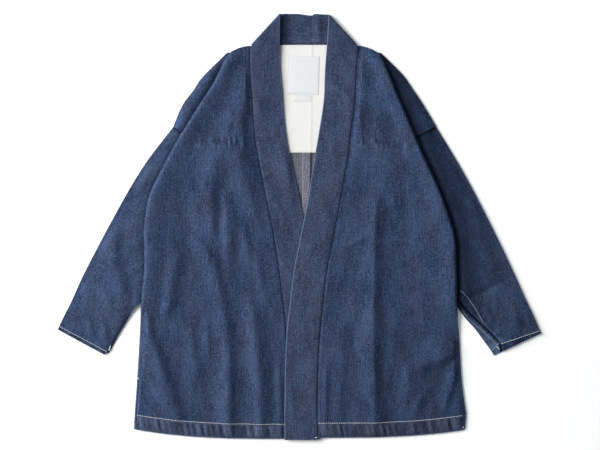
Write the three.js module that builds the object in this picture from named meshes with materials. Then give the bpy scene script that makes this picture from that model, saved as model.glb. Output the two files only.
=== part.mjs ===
import * as THREE from 'three';

// A noragi jacket in denim, laid flat on its back with the left front over the right.
// Sizes are in millimetres. X runs across the jacket, Y from the hem up to the neck and Z
// up from the surface that it lies on. Every piece of cloth is a thin wall about a middle
// surface, which is a grid of points worked out from the tables below.

// ---- driving sizes ----
const PLY = 1.2; // one ply of denim
const BAND = 2.4; // the collar band, folded double
const LINING = 1.0;
const LABEL = 1.0;
const GAP = 0.3; // between two pieces at a seam
const LAYER = 1.7; // from one ply's middle to the next one's, where they lie on each other
const HEM_EXTRA = 1.0; // what the turned-up hem adds inside

// ---- heights of the middle surfaces ----
const FLOOR_PLY = PLY / 2; // a ply that lies on the surface
const EDGE_PLY = 2.1; // a ply whose edge lies on the floor ply's edge
const FRONT_PLY = 4.4; // the fronts over the back
const NECK_BAND = BAND / 2;
const UNDER_BAND = 4.0; // the collar on the right front
const BAND_STEP = 2.8; // the left front's collar climbs this much to cross over it
const LINING_HEIGHT = 2.0;
const LABEL_HEIGHT = 3.3;
const BACK_INSET = 5; // the back's fold lies this far inside the front's

// ---- places along the body: whole numbers are the rows of the BODY tables ----
const SLEEVE_SEAM = 4;
const ARMPIT = 10;
const HEM_TOP = 13;
const HEM_LINE = 14;
const HEM_EDGE = 15;

function table(names, rows) {
  const columns = names.split(' ');
  return rows.map((row) => Object.fromEntries(columns.map((name, k) => [name, row[k]])));
}

// One row for each station from the shoulder to the hem. seam: where the collar is sewn on.
// edge: the fold over the sleeve down to the armpit, then the side seam. free: the collar's
// free edge.
const BODY_COLUMNS = 'seamX seamY edgeX edgeY freeX freeY';
const BODY = {
  right: table(BODY_COLUMNS, [
    [-95, 748.6, -136, 736, -39.9, 808.5],
    [-94, 694, -160, 678, -37, 711],
    [-91, 656, -182, 650, -33, 661],
    [-89, 621, -201, 621, -30, 621],
    [-86, 580, -226, 581, -25.5, 580],
    [-79, 536, -250, 538, -18, 536],
    [-71, 496, -274, 496, -9.1, 496],
    [-63, 456, -290, 458, -0.2, 456],
    [-51, 399, -296, 399, 11.4, 399],
    [-40, 327, -295, 333, 22.8, 327],
    [-31, 260, -301, 264, 30.4, 260],
    [-26, 200, -304, 203, 37, 200],
    [-23, 118, -309, 120, 38, 118],
    [-22, 33, -314, 51, 39, 33],
    [-22, 32, -314, 50, 39, 32],
    [-22, 2.7, -315.4, 21, 39, 2],
  ]),
  left: table(BODY_COLUMNS, [
    [110.2, 748.6, 150, 736, 56.5, 807],
    [106.8, 693, 173.3, 684.8, 47.9, 711],
    [104.9, 654, 185.8, 653.2, 45.8, 657],
    [102.6, 625, 198.6, 624.9, 42.4, 625],
    [96, 579.5, 220.4, 572.9, 35, 579.5],
    [92.2, 540, 233.1, 543, 28.3, 540],
    [83, 492, 256.5, 492.1, 20.5, 492],
    [75, 448.4, 274.2, 448.4, 13.7, 448.4],
    [63.7, 386.3, 293, 386.3, 1, 386.3],
    [50.5, 319.6, 296.8, 319.6, -12, 319.6],
    [43.7, 260, 297.5, 259, -19, 260],
    [37.8, 201.4, 302.1, 197.6, -25.5, 201.4],
    [33.3, 117.8, 306.9, 114, -28.7, 117.8],
    [32.9, 34, 315.2, 50, -29.5, 34],
    [32.9, 33, 315.2, 49, -29.5, 33],
    [32.9, 4.8, 313.5, 20, -29.5, 1],
  ]),
};

// The outline of the shoulder, at the same stations as the first rows of BODY.
const SHOULDER = {
  right: table('x y', [[-139.5, 734], [-184, 690], [-201.4, 665], [-223, 635.5], [-240, 596]]),
  left: table('x y', [[154, 734], [193.5, 694.5], [214.3, 665.4], [232, 639.3], [257.6, 596.6]]),
};

// The pleat that takes up the spare width beside the sleeve. turn: how far the ply turns
// under, in degrees. tuck: its flat length under the fold. radius: of both folds.
const PLEAT = table('at turn tuck radius', [
  [0, 25, 0.6, 2],
  [0.25, 90, 0.7, 1.1],
  [0.5, 180, 1, 0.85],
  [1, 180, 6, 0.85],
  [2, 180, 12, 0.85],
  [3, 180, 18, 0.85],
  [4, 180, 22, 0.85],
  [5, 180, 24, 0.85],
  [7, 180, 24, 0.85],
  [8, 180, 22, 0.85],
  [9, 180, 16, 0.85],
  [10, 180, 5, 0.85],
]);

// Height of the front's edge below the armpit, where it comes down on to the back's edge.
const SIDE_RIM = table('at height', [
  [10, 9.1],
  [10.34, 6.4],
  [10.67, 3.8],
  [11, 2.2],
  [12, 2.3],
  [12.5, 3],
  [13, 4.4],
  [15, 4.4],
]);

// The sleeves from the armhole seam to the cuff. outer: the sleeve's outer fold. top and
// under: the underarm edges of its top ply and of the ply beneath. loft: height of the top
// ply. The first row is worked out from the armhole seam.
const SLEEVE_COLUMNS = 'outerX outerY topX topY underX underY loft';
const SLEEVE = {
  right: table(SLEEVE_COLUMNS, [
    [0, 0, 0, 0, 0, 0, 2.3],
    [-289, 532, -238, 504, -238, 504, 3],
    [-325, 475, -269, 447, -269, 447, 3.2],
    [-367, 399, -276, 352, -276, 352, 3.3],
    [-397, 342, -288, 281, -288, 281, 3.3],
    [-416, 304, -315, 248, -315, 248, 3.3],
    [-433, 266, -338, 211, -338, 211, 3.4],
    [-452, 228, -358, 178, -357, 176, 3.7],
    [-460, 210, -371, 162, -364, 165, 3.8],
  ]),
  left: table(SLEEVE_COLUMNS, [
    [0, 0, 0, 0, 0, 0, 2.3],
    [302, 522.5, 226.2, 501.3, 226.2, 501.3, 3],
    [338.2, 456, 250.7, 439.8, 250.7, 439.8, 3.2],
    [380, 372.4, 274, 352, 274, 350, 3.3],
    [408.5, 311.6, 288.8, 288.8, 284, 281, 3.3],
    [425.6, 273.6, 317.3, 248.9, 309.7, 237.5, 3.3],
    [442.7, 237.5, 345.8, 221.4, 332.5, 210.9, 3.5],
    [454.1, 210.9, 378.1, 188.1, 359.1, 174.8, 3.7],
    [457.9, 203.3, 383.8, 168.2, 368.6, 160.6, 3.8],
  ]),
};

// The largest folds, each a soft ridge (or trough, where rise is below 0) between two points.
const FOLD_COLUMNS = 'x0 y0 x1 y1 rise width';
const FOLDS = {
  right: table(FOLD_COLUMNS, [
    [-148, 540, -148, 400, -1.4, 9],
    [-133, 470, -131, 310, 3, 9],
    [-205, 370, -110, 243, 2.4, 11],
    [-137, 215, -135, 8, 3.2, 9],
    [-99, 262, -84, 8, 3, 10],
    [-44, 180, -42, 8, 1.4, 9],
    [-243, 415, -244, 245, 2.6, 9],
    [-292, 236, -240, 45, 3.2, 9],
    [-300, 140, -276, 30, 2, 7],
  ]),
  left: table(FOLD_COLUMNS, [
    [134.5, 470, 135.5, 4, 4.6, 8],
    [129, 690, 127, 470, 2, 17],
    [298, 198, 206, 128, 3.4, 10],
    [208, 134, 199, 50, 2.6, 9],
    [306, 108, 262, 36, 2.4, 8],
    [160, 376, 272, 370, 1.2, 8],
  ]),
};
const SLEEVE_FOLDS = {
  right: table(FOLD_COLUMNS, [
    [-334, 424, -300, 290, 2.4, 9],
    [-384, 306, -346, 212, 1.6, 10],
  ]),
  left: table(FOLD_COLUMNS, [
    [316, 272, 410, 314, 2, 8],
    [345, 410, 372, 330, 1.6, 10],
  ]),
};

const SIDE_SIGN = { right: -1, left: 1 };
const CENTRE_BACK = { topX: 22.8, topY: 753, lowX: 7.6, lowY: 2 };
const COLLAR_TOP = 804.7; // the collar's free edge at the centre back

// ---- small helpers ----

function smooth(value) {
  const v = THREE.MathUtils.clamp(value, 0, 1);
  return v * v * (3 - 2 * v);
}

// A quarter wave from 0 to 1, steep at the start and level at the end.
function rounded(value) {
  return Math.sin((Math.PI / 2) * THREE.MathUtils.clamp(value, 0, 1));
}

// Catmull-Rom through one column of a table whose rows are the whole numbers.
function through(rows, column, t) {
  const last = rows.length - 1;
  const row = Math.min(Math.floor(t), last - 1);
  const a = rows[row][column];
  const b = rows[row + 1][column];
  const before = row > 0 ? rows[row - 1][column] : 2 * a - b;
  const after = row + 2 <= last ? rows[row + 2][column] : 2 * b - a;
  const f = t - row;
  const slopeA = (b - before) / 2;
  const slopeB = (after - a) / 2;
  const f2 = f * f;
  const f3 = f2 * f;
  return (2 * f3 - 3 * f2 + 1) * a + (f3 - 2 * f2 + f) * slopeA
    + (3 * f2 - 2 * f3) * b + (f3 - f2) * slopeB;
}

// Straight lines through a column of a table that gives its own places in `at`.
function between(rows, column, t) {
  let k = 0;
  while (k < rows.length - 2 && rows[k + 1].at < t) {
    k += 1;
  }
  const f = THREE.MathUtils.clamp((t - rows[k].at) / (rows[k + 1].at - rows[k].at), 0, 1);
  return THREE.MathUtils.lerp(rows[k][column], rows[k + 1][column], f);
}

function placeIn(rows, name, t) {
  return new THREE.Vector2(through(rows, `${name}X`, t), through(rows, `${name}Y`, t));
}

// The places from one whole number to the next, cut into as many steps as `steps` says.
function placesFrom(steps) {
  const places = [0];
  steps.forEach((count, row) => {
    for (let k = 1; k <= count; k += 1) {
      places.push(row + k / count);
    }
  });
  return places;
}

function raised(folds, x, y) {
  let height = 0;
  for (const fold of folds) {
    const dx = fold.x1 - fold.x0;
    const dy = fold.y1 - fold.y0;
    const length = Math.hypot(dx, dy);
    const along = ((x - fold.x0) * dx + (y - fold.y0) * dy) / length;
    const aside = ((x - fold.x0) * dy - (y - fold.y0) * dx) / length;
    const fade = smooth(along / 30) * smooth((length - along) / 30);
    height += fold.rise * fade * Math.exp(-((aside / fold.width) ** 2));
  }
  return height;
}

// ---- the wall about a grid of points ----

// grid: rows of Vector3 on the middle surface. up: whether the outer face looks up at the
// grid's first point. outer and inner: thickness each side, at a row and column. keep: which
// cells of the grid are cloth.
function wall(name, material, grid, { up, outer, inner, keep = () => true }) {
  const rows = grid.length;
  const columns = grid[0].length;
  const clampRow = (i) => THREE.MathUtils.clamp(i, 0, rows - 1);
  const clampColumn = (j) => THREE.MathUtils.clamp(j, 0, columns - 1);

  const normalAt = (i, j) => {
    const down = grid[clampRow(i + 1)][j].clone().sub(grid[clampRow(i - 1)][j]);
    const across = grid[i][clampColumn(j + 1)].clone().sub(grid[i][clampColumn(j - 1)]);
    return across.cross(down).normalize();
  };
  const facing = (normalAt(0, 0).z > 0) === up ? 1 : -1;

  const positions = [];
  const numbers = new Map();
  const vertex = (i, j, face) => {
    const key = (i * columns + j) * 2 + face;
    if (!numbers.has(key)) {
      const reach = face === 0 ? outer(i, j) : -inner(i, j);
      const point = grid[i][j].clone().addScaledVector(normalAt(i, j), reach * facing);
      numbers.set(key, positions.length / 3);
      positions.push(point.x, point.y, point.z);
    }
    return numbers.get(key);
  };

  const triangles = [];
  const quad = (a, b, c, d) => {
    triangles.push([a, b, c], [a, c, d]);
  };
  const kept = (i, j) => i >= 0 && j >= 0 && i < rows - 1 && j < columns - 1 && keep(i, j);
  for (let i = 0; i < rows - 1; i += 1) {
    for (let j = 0; j < columns - 1; j += 1) {
      if (!kept(i, j)) {
        continue;
      }
      const corner = (face) => [
        vertex(i, j, face),
        vertex(i, j + 1, face),
        vertex(i + 1, j + 1, face),
        vertex(i + 1, j, face),
      ];
      const over = corner(0);
      const under = corner(1);
      quad(over[0], over[1], over[2], over[3]);
      quad(under[3], under[2], under[1], under[0]);
      const beside = [kept(i - 1, j), kept(i, j + 1), kept(i + 1, j), kept(i, j - 1)];
      beside.forEach((hasNeighbour, side) => {
        if (!hasNeighbour) {
          const next = (side + 1) % 4;
          quad(over[next], over[side], under[side], under[next]);
        }
      });
    }
  }

  const point = (n) => new THREE.Vector3().fromArray(positions, n * 3);
  let volume = 0;
  for (const [a, b, c] of triangles) {
    volume += point(a).dot(point(b).cross(point(c)));
  }
  const index = triangles.flatMap(([a, b, c]) => (volume > 0 ? [a, b, c] : [a, c, b]));
  const geometry = new THREE.BufferGeometry();
  geometry.setAttribute('position', new THREE.Float32BufferAttribute(positions, 3));
  geometry.setIndex(index);
  geometry.computeVertexNormals();
  const mesh = new THREE.Mesh(geometry, material);
  mesh.name = name;
  return mesh;
}

// ---- the fold edge and the pleat ----

// The edge at place t, with the way that points out from the body there.
function edgeFrame(side, t) {
  const step = 0.4;
  const before = placeIn(BODY[side], 'edge', Math.max(t - step, 0));
  const after = placeIn(BODY[side], 'edge', Math.min(t + step, HEM_EDGE));
  const along = after.sub(before).normalize();
  const sign = SIDE_SIGN[side];
  return {
    edge: placeIn(BODY[side], 'edge', t),
    out: new THREE.Vector2(-along.y * sign, along.x * sign),
  };
}

function pleatAt(t) {
  const turn = THREE.MathUtils.degToRad(between(PLEAT, 'turn', t));
  const tuck = between(PLEAT, 'tuck', t);
  const radius = between(PLEAT, 'radius', t);
  const drop = 2 * radius * (1 - Math.cos(turn)) + tuck * Math.sin(turn);
  return { turn, tuck, radius, drop };
}

const TURN_STEPS = 5;
const TUCK_STEPS = 2;
const SHOULDER_STEPS = 4;

// The pleat in section, from the end of the main ply: `out` is measured from the fold's
// outermost point and `drop` from the main ply.
function pleatSection({ turn, tuck, radius }) {
  const section = [];
  const start = -radius - PLY / 2;
  for (let k = 1; k <= TURN_STEPS; k += 1) {
    const angle = (turn * k) / TURN_STEPS;
    section.push({ out: start + radius * Math.sin(angle), drop: radius * (1 - Math.cos(angle)) });
  }
  const first = section[section.length - 1];
  for (let k = 1; k <= TUCK_STEPS; k += 1) {
    const run = (tuck * k) / TUCK_STEPS;
    section.push({ out: first.out + run * Math.cos(turn), drop: first.drop + run * Math.sin(turn) });
  }
  const second = section[section.length - 1];
  for (let k = 1; k <= TURN_STEPS; k += 1) {
    const angle = turn * (1 - k / TURN_STEPS);
    section.push({
      out: second.out + radius * (Math.sin(turn) - Math.sin(angle)),
      drop: second.drop + radius * (Math.cos(angle) - Math.cos(turn)),
    });
  }
  return section;
}

// Heights where the plies lie on each other at the fold edge.
function stackAt(t) {
  const { drop } = pleatAt(t);
  const backOuter = FLOOR_PLY + drop;
  const frontOuter = backOuter + LAYER;
  return { backOuter, frontOuter, frontMain: frontOuter + drop };
}

// The pleat's points: the section along `out` from the edge, then the ply beyond it to the
// shoulder's outline at rimHeight. sign: -1 where the ply turns down, 1 where it turns up.
function pleatPoints(side, t, edge, out, mainHeight, sign, rimHeight) {
  const points = pleatSection(pleatAt(t)).map((step) => {
    const flat = edge.clone().addScaledVector(out, step.out);
    return new THREE.Vector3(flat.x, flat.y, mainHeight + sign * step.drop);
  });
  const start = points[points.length - 1];
  const place = Math.min(t, SLEEVE_SEAM);
  const rimX = through(SHOULDER[side], 'x', place);
  const rimY = through(SHOULDER[side], 'y', place);
  const width = Math.hypot(rimX - start.x, rimY - start.y);
  const slope = 18;
  for (let k = 1; k <= SHOULDER_STEPS; k += 1) {
    const f = k / SHOULDER_STEPS;
    const share = rounded((width * (1 - f)) / slope) / rounded(width / slope);
    points.push(new THREE.Vector3(
      THREE.MathUtils.lerp(start.x, rimX, f),
      THREE.MathUtils.lerp(start.y, rimY, f),
      rimHeight + (start.z - rimHeight) * share,
    ));
  }
  return points;
}

const PLEAT_COLUMNS = 2 * TURN_STEPS + TUCK_STEPS + SHOULDER_STEPS;
const TUCK_COLUMNS = TURN_STEPS + TUCK_STEPS;

// ---- the fronts ----

const FRONT_STEPS = [4, 2, 1, 2, 1, 1, 2, 2, 2, 2, 3, 3, 2, 1, 1];
const CREST_X = 134.5; // the long folds down both fronts
const TO_CREST = [0, 0.16, 0.34, 0.52, 0.7, 0.85, 0.94, 1];
const FROM_CREST = [0.035, 0.09, 0.18, 0.28, 0.38, 0.48, 0.58, 0.68, 0.78, 0.88, 0.95, 1];

// How far across the front each column lies, with one column along the long fold's crest.
function frontShares(side, t) {
  const seam = Math.abs(through(BODY[side], 'seamX', t));
  const edge = Math.abs(through(BODY[side], 'edgeX', t));
  const crest = THREE.MathUtils.clamp((CREST_X - seam) / (edge - seam), 0.3, 0.42);
  return [
    ...TO_CREST.map((share) => share * crest),
    ...FROM_CREST.map((share) => crest + share * (1 - crest)),
  ];
}

// The hem hangs lower in the middle than a straight line from the seam to the side.
function hemBow(side, t, share) {
  const weight = smooth((t - 12) / (HEM_TOP - 12));
  const rise = through(BODY[side], 'edgeY', t) - through(BODY[side], 'seamY', t);
  return weight * rise * (share ** 3 - share);
}

function shoulderBow(t, share) {
  const bulge = 3;
  return 4 * bulge * share * (1 - share) * smooth(1 - t / 0.5);
}

// The left collar climbs over the right one between these heights up the body.
const CLIMB_START = 522;
const CLIMB_LENGTH = 95;
function climb(side, y) {
  return side === 'left' ? BAND_STEP * smooth((CLIMB_START - y) / CLIMB_LENGTH) : 0;
}

function frontHeight(side, t, spot, seamDistance, edgeDistance) {
  const shoulderDrop = rounded((t * 55) / 20);
  const level = EDGE_PLY + (FRONT_PLY - EDGE_PLY) * shoulderDrop;
  const fromSeam = 1 - smooth(seamDistance / 70);
  const window = smooth((seamDistance - 6) / 20) * smooth((edgeDistance - 4) / 22);
  const cloth = level + climb(side, spot.y) * fromSeam
    + raised(FOLDS[side], spot.x, spot.y) * window;
  const above = t <= ARMPIT ? stackAt(t).frontMain : between(SIDE_RIM, 'height', t);
  if (above > cloth || t <= ARMPIT) {
    const { tuck } = pleatAt(t);
    const flat = tuck + 2 * PLY + LAYER + 4;
    const reach = Math.min(85, seamDistance + edgeDistance - 5);
    const share = 1 - smooth((edgeDistance - flat) / (reach - flat));
    return cloth + (above - cloth) * share;
  }
  return above + (cloth - above) * rounded(edgeDistance / 10);
}

function frontRow(side, t) {
  const sign = SIDE_SIGN[side];
  const seam = placeIn(BODY[side], 'seam', t);
  seam.x += (sign * GAP) / 2;
  const { edge, out } = edgeFrame(side, t);
  const pleated = t <= ARMPIT;
  const inset = pleated ? pleatAt(t).radius + PLY / 2 : 0;
  const end = edge.clone().addScaledVector(out, -inset);
  const row = frontShares(side, t).map((share) => {
    const spot = seam.clone().lerp(end, share);
    spot.y += hemBow(side, t, share) + shoulderBow(t, share);
    const height = frontHeight(side, t, spot, spot.distanceTo(seam), spot.distanceTo(end));
    return new THREE.Vector3(spot.x, spot.y, height);
  });
  const { frontMain } = stackAt(Math.min(t, ARMPIT));
  const pleat = pleatPoints(side, Math.min(t, ARMPIT), edge, out, frontMain, -1, EDGE_PLY);
  return [...row, ...pleat];
}

// Which cells are cloth: the whole pleat above the sleeve's seam, its tuck down to the
// armpit, and the main ply alone below that.
function panelKeep(places, mainCells) {
  return (i, j) => {
    if (places[i + 1] <= SLEEVE_SEAM) {
      return true;
    }
    if (places[i + 1] <= ARMPIT) {
      return j < mainCells + TUCK_COLUMNS;
    }
    return j < mainCells;
  };
}

function hemmed(places, mainCells) {
  return (i, j) => PLY / 2 + (places[i] >= HEM_LINE && j <= mainCells ? HEM_EXTRA : 0);
}

function front(side, material) {
  const places = placesFrom(FRONT_STEPS);
  const grid = places.map((t) => frontRow(side, t));
  const mainCells = grid[0].length - 1 - PLEAT_COLUMNS;
  return wall(`front_${side}`, material, grid, {
    up: true,
    outer: () => PLY / 2,
    inner: hemmed(places, mainCells),
    keep: panelKeep(places, mainCells),
  });
}

// ---- the backs ----

const BACK_STEPS = [4, 1, 1, 1, 1, 1, 1, 1, 1, 1, 2, 1, 1, 1, 1];
const BACK_TO_SEAM = [0, 0.5, 1];
const BACK_FROM_SEAM = [0.2, 0.4, 0.6, 0.8, 1];

function centreBack(t, y) {
  if (t === 0) {
    return new THREE.Vector2(CENTRE_BACK.topX, CENTRE_BACK.topY);
  }
  const f = (y - CENTRE_BACK.lowY) / (CENTRE_BACK.topY - CENTRE_BACK.lowY);
  return new THREE.Vector2(THREE.MathUtils.lerp(CENTRE_BACK.lowX, CENTRE_BACK.topX, f), y);
}

function backRow(side, t) {
  const sign = SIDE_SIGN[side];
  const seam = placeIn(BODY[side], 'seam', t);
  const centre = centreBack(t, seam.y);
  centre.x += (sign * GAP) / 2;
  const { edge, out } = edgeFrame(side, t);
  edge.addScaledVector(out, -BACK_INSET * smooth((11 - t) / 1));
  const inset = t <= ARMPIT ? pleatAt(t).radius + PLY / 2 : 0;
  const end = edge.clone().addScaledVector(out, -inset);
  const toSeam = BACK_TO_SEAM.map((share) => centre.clone().lerp(seam, share));
  const toEdge = BACK_FROM_SEAM.map((share) => {
    const spot = seam.clone().lerp(end, share);
    spot.y += hemBow(side, t, share) + shoulderBow(t, share);
    return spot;
  });
  const row = [...toSeam, ...toEdge].map((spot) => new THREE.Vector3(spot.x, spot.y, FLOOR_PLY));
  const pleat = pleatPoints(side, Math.min(t, ARMPIT), edge, out, FLOOR_PLY, 1, FLOOR_PLY);
  return [...row, ...pleat];
}

function back(side, material) {
  const places = placesFrom(BACK_STEPS);
  const grid = places.map((t) => backRow(side, t));
  const mainCells = grid[0].length - 1 - PLEAT_COLUMNS;
  return wall(`back_${side}`, material, grid, {
    up: false,
    outer: () => PLY / 2,
    inner: hemmed(places, mainCells),
    keep: panelKeep(places, mainCells),
  });
}

// ---- the sleeves ----

const SLEEVE_STEPS = [2, 2, 1, 2, 3, 1, 1, 1];
const CUFF_PLACE = 7.58; // where the cuff's hem starts
const UNDER_SHARES = [0, 0.1, 0.24, 0.42, 0.62, 0.82, 1];
const TOP_SHARES = [0, 0.08, 0.18, 0.3, 0.42, 0.54, 0.66, 0.78, 0.88, 0.95, 1];
const OUTER_STEPS = 5;

// The edge of the body as short straight lines, for measuring how far outside it lies a point.
const EDGE_LINES = Object.fromEntries(['right', 'left'].map((side) => {
  const line = [];
  for (let t = 0; t <= HEM_TOP; t += 0.25) {
    line.push(edgeFrame(side, t));
  }
  return [side, line];
}));

function outsideEdge(side, spot) {
  let nearest = EDGE_LINES[side][0];
  for (const frame of EDGE_LINES[side]) {
    if (frame.edge.distanceTo(spot) < nearest.edge.distanceTo(spot)) {
      nearest = frame;
    }
  }
  return spot.clone().sub(nearest.edge).dot(nearest.out);
}

// The line of the armhole seam: from the shoulder's outline in under the fold.
function armholeSeam(side) {
  const { edge, out } = edgeFrame(side, SLEEVE_SEAM);
  const last = SHOULDER[side][SLEEVE_SEAM];
  const rim = new THREE.Vector2(last.x, last.y);
  const hidden = edge.clone().addScaledVector(out, -pleatAt(SLEEVE_SEAM).tuck - 3);
  const along = hidden.clone().sub(rim).normalize();
  const sign = SIDE_SIGN[side];
  const aside = new THREE.Vector2(-along.y * sign, along.x * sign).multiplyScalar(GAP + 0.15);
  return { outer: rim.add(aside), inner: hidden.add(aside) };
}

function sleeveTable(side) {
  const { outer, inner } = armholeSeam(side);
  const first = {
    outerX: outer.x,
    outerY: outer.y,
    topX: inner.x,
    topY: inner.y,
    underX: inner.x,
    underY: inner.y,
    loft: SLEEVE[side][0].loft,
  };
  return [first, ...SLEEVE[side].slice(1)];
}

const UNDER_HIDDEN = FLOOR_PLY + 2 * LAYER; // the sleeve's plies where the body covers them
const TOP_HIDDEN = FLOOR_PLY + 3 * LAYER;

function underHeight(side, spot) {
  const share = smooth((outsideEdge(side, spot) + 2) / 20);
  return UNDER_HIDDEN + (FLOOR_PLY - UNDER_HIDDEN) * share;
}

function topHeight(side, t, loft, spot, outerDistance, underarmDistance) {
  const outside = outsideEdge(side, spot);
  const shape = smooth((outside - 2) / 25) * smooth(outerDistance / 20);
  const closed = smooth((t - 4) / 0.5) * smooth((7.5 - t) / 0.5);
  const puff = 2.2 * rounded(outerDistance / 60) * rounded(underarmDistance / 50);
  const free = loft + (puff + raised(SLEEVE_FOLDS[side], spot.x, spot.y)) * shape;
  const rim = EDGE_PLY + (free - EDGE_PLY) * rounded(underarmDistance / 9);
  const level = free + (rim - free) * closed;
  return level + (TOP_HIDDEN - level) * (1 - smooth((outside + 2) / 20));
}

function sleeveRow(side, rows, t) {
  const loft = through(rows, 'loft', t);
  const outer = placeIn(rows, 'outer', t);
  const top = placeIn(rows, 'top', t);
  const under = placeIn(rows, 'under', t);
  const out = outer.clone().sub(top).normalize();
  const radius = (loft - FLOOR_PLY) / 2;
  const end = outer.clone().addScaledVector(out, -radius - PLY / 2);
  const row = UNDER_SHARES.map((share) => {
    const spot = under.clone().lerp(end, share);
    return new THREE.Vector3(spot.x, spot.y, underHeight(side, spot));
  });
  for (let k = 1; k < OUTER_STEPS; k += 1) {
    const angle = (Math.PI * k) / OUTER_STEPS;
    const spot = end.clone().addScaledVector(out, radius * Math.sin(angle));
    row.push(new THREE.Vector3(spot.x, spot.y, FLOOR_PLY + radius * (1 - Math.cos(angle))));
  }
  for (const share of TOP_SHARES) {
    const spot = end.clone().lerp(top, share);
    const height = topHeight(side, t, loft, spot, spot.distanceTo(end), spot.distanceTo(top));
    row.push(new THREE.Vector3(spot.x, spot.y, height));
  }
  return row;
}

function sleeve(side, material) {
  const rows = sleeveTable(side);
  const places = placesFrom(SLEEVE_STEPS);
  places.splice(places.length - 1, 0, CUFF_PLACE - 0.03, CUFF_PLACE);
  const grid = places.map((t) => sleeveRow(side, rows, t));
  const cuff = PLY / 2 + HEM_EXTRA * 0.7;
  return wall(`sleeve_${side}`, material, grid, {
    up: false,
    outer: () => PLY / 2,
    inner: (i) => (places[i] >= CUFF_PLACE ? cuff : PLY / 2),
  });
}

// ---- the collar ----

const NECK_STEPS = 4;
const COLLAR_TURN_STEPS = 6;
// Across the band: how far, and the share of its full thickness there.
const BAND_COLUMNS = table('share thick', [
  [0, 0.45],
  [0.03, 0.8],
  [0.1, 1],
  [0.9, 1],
  [0.97, 0.8],
  [1, 0.5],
]);

function bandPoints(free, sewn, height) {
  return BAND_COLUMNS.map(({ share }) => {
    const spot = free.clone().lerp(sewn, share);
    return new THREE.Vector3(spot.x, spot.y, height(spot));
  });
}

// Behind the neck the band lies inside up. It turns over along the slanting line between its
// two edges at the shoulder, and from there runs down the front.
function collarRows(side) {
  const sign = SIDE_SIGN[side];
  const first = BODY[side][0];
  const free = new THREE.Vector2(first.freeX, first.freeY);
  const neck = new THREE.Vector2(first.seamX, first.seamY + GAP);
  const along = free.clone().sub(neck).normalize();
  const out = new THREE.Vector2(along.y * sign, -along.x * sign);
  const radius = (UNDER_BAND - NECK_BAND) / 2;
  const axis = -radius - BAND / 2;
  const freeAxis = free.clone().addScaledVector(out, axis);
  // Slid up along the fold, so that it stays clear of the back's neck edge.
  const neckAxis = neck.clone().addScaledVector(out, axis).addScaledVector(along, BAND + 0.5);
  const centre = CENTRE_BACK.topX + (sign * GAP) / 2;
  const rows = [];
  for (let k = 0; k < NECK_STEPS; k += 1) {
    const f = k / NECK_STEPS;
    const freeSpot = new THREE.Vector2(centre, COLLAR_TOP).lerp(freeAxis, f);
    const sewnSpot = new THREE.Vector2(centre, CENTRE_BACK.topY + GAP).lerp(neckAxis, f);
    rows.push(bandPoints(freeSpot, sewnSpot, () => NECK_BAND));
  }
  for (let k = 0; k <= COLLAR_TURN_STEPS; k += 1) {
    const angle = (Math.PI * k) / COLLAR_TURN_STEPS;
    const shift = out.clone().multiplyScalar(radius * Math.sin(angle));
    const height = NECK_BAND + radius * (1 - Math.cos(angle));
    rows.push(bandPoints(freeAxis.clone().add(shift), neckAxis.clone().add(shift), () => height));
  }
  for (const t of placesFrom(FRONT_STEPS).slice(1)) {
    const freeSpot = placeIn(BODY[side], 'free', t);
    const sewnSpot = placeIn(BODY[side], 'seam', t);
    sewnSpot.x -= (sign * GAP) / 2;
    if (t === HEM_EDGE) {
      sewnSpot.y = freeSpot.y;
    }
    rows.push(bandPoints(freeSpot, sewnSpot, (spot) => UNDER_BAND + climb(side, spot.y)));
  }
  return rows;
}

function collar(side, material) {
  const half = (i, j) => (BAND / 2) * BAND_COLUMNS[j].thick;
  return wall(`collar_${side}`, material, collarRows(side), {
    up: false,
    outer: half,
    inner: half,
  });
}

// ---- the lining and the labels ----

const YOKE = {
  centreX: 20,
  topY: 750,
  lowY: 548,
  topHalf: 118,
  lowHalf: 158,
  level: 55, // half the stretch of the top edge that runs straight along the neck
  fall: 18, // how much lower the top edge is at its ends
};

function yokeLining(material) {
  const across = [-1, -0.78, -0.46, 0.46, 0.78, 1];
  const down = [0, 0.5, 1];
  const grid = down.map((f) => across.map((share) => {
    const x = share * THREE.MathUtils.lerp(YOKE.topHalf, YOKE.lowHalf, f);
    const slope = smooth((Math.abs(x) - YOKE.level) / (YOKE.topHalf - YOKE.level));
    const top = YOKE.topY - YOKE.fall * slope;
    return new THREE.Vector3(YOKE.centreX + x, THREE.MathUtils.lerp(top, YOKE.lowY, f),
      LINING_HEIGHT);
  }));
  return wall('yoke_lining', material, grid, {
    up: true,
    outer: () => LINING / 2,
    inner: () => LINING / 2,
  });
}

const MAIN_LABEL = { x: 6.3, y: 697, width: 59, height: 72, tilt: -0.03 };
const SMALL_LABEL = { x: 5.7, y: 652.6, width: 34, height: 11.6, tilt: -0.03 };

function label(name, size, material) {
  const flat = new THREE.BoxGeometry(size.width, size.height, LABEL);
  const mesh = new THREE.Mesh(flat, material);
  mesh.name = name;
  mesh.position.set(size.x, size.y, LABEL_HEIGHT);
  mesh.rotation.z = size.tilt;
  return mesh;
}

// ---- the whole jacket ----

function cloth(color, roughness) {
  return new THREE.MeshStandardMaterial({ color, roughness, metalness: 0 });
}

const jacket = new THREE.Group();
for (const side of ['right', 'left']) {
  jacket.add(back(side, cloth(0x3a4663, 0.92)));
  jacket.add(sleeve(side, cloth(0x42506e, 0.92)));
  jacket.add(front(side, cloth(0x3a4663, 0.92)));
  jacket.add(collar(side, cloth(0x3d475f, 0.92)));
}
jacket.add(yokeLining(cloth(0xf0efec, 0.95)));
jacket.add(label('label_main', MAIN_LABEL, cloth(0xeeedee, 0.9)));
jacket.add(label('label_small', SMALL_LABEL, cloth(0xeeedee, 0.9)));

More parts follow.
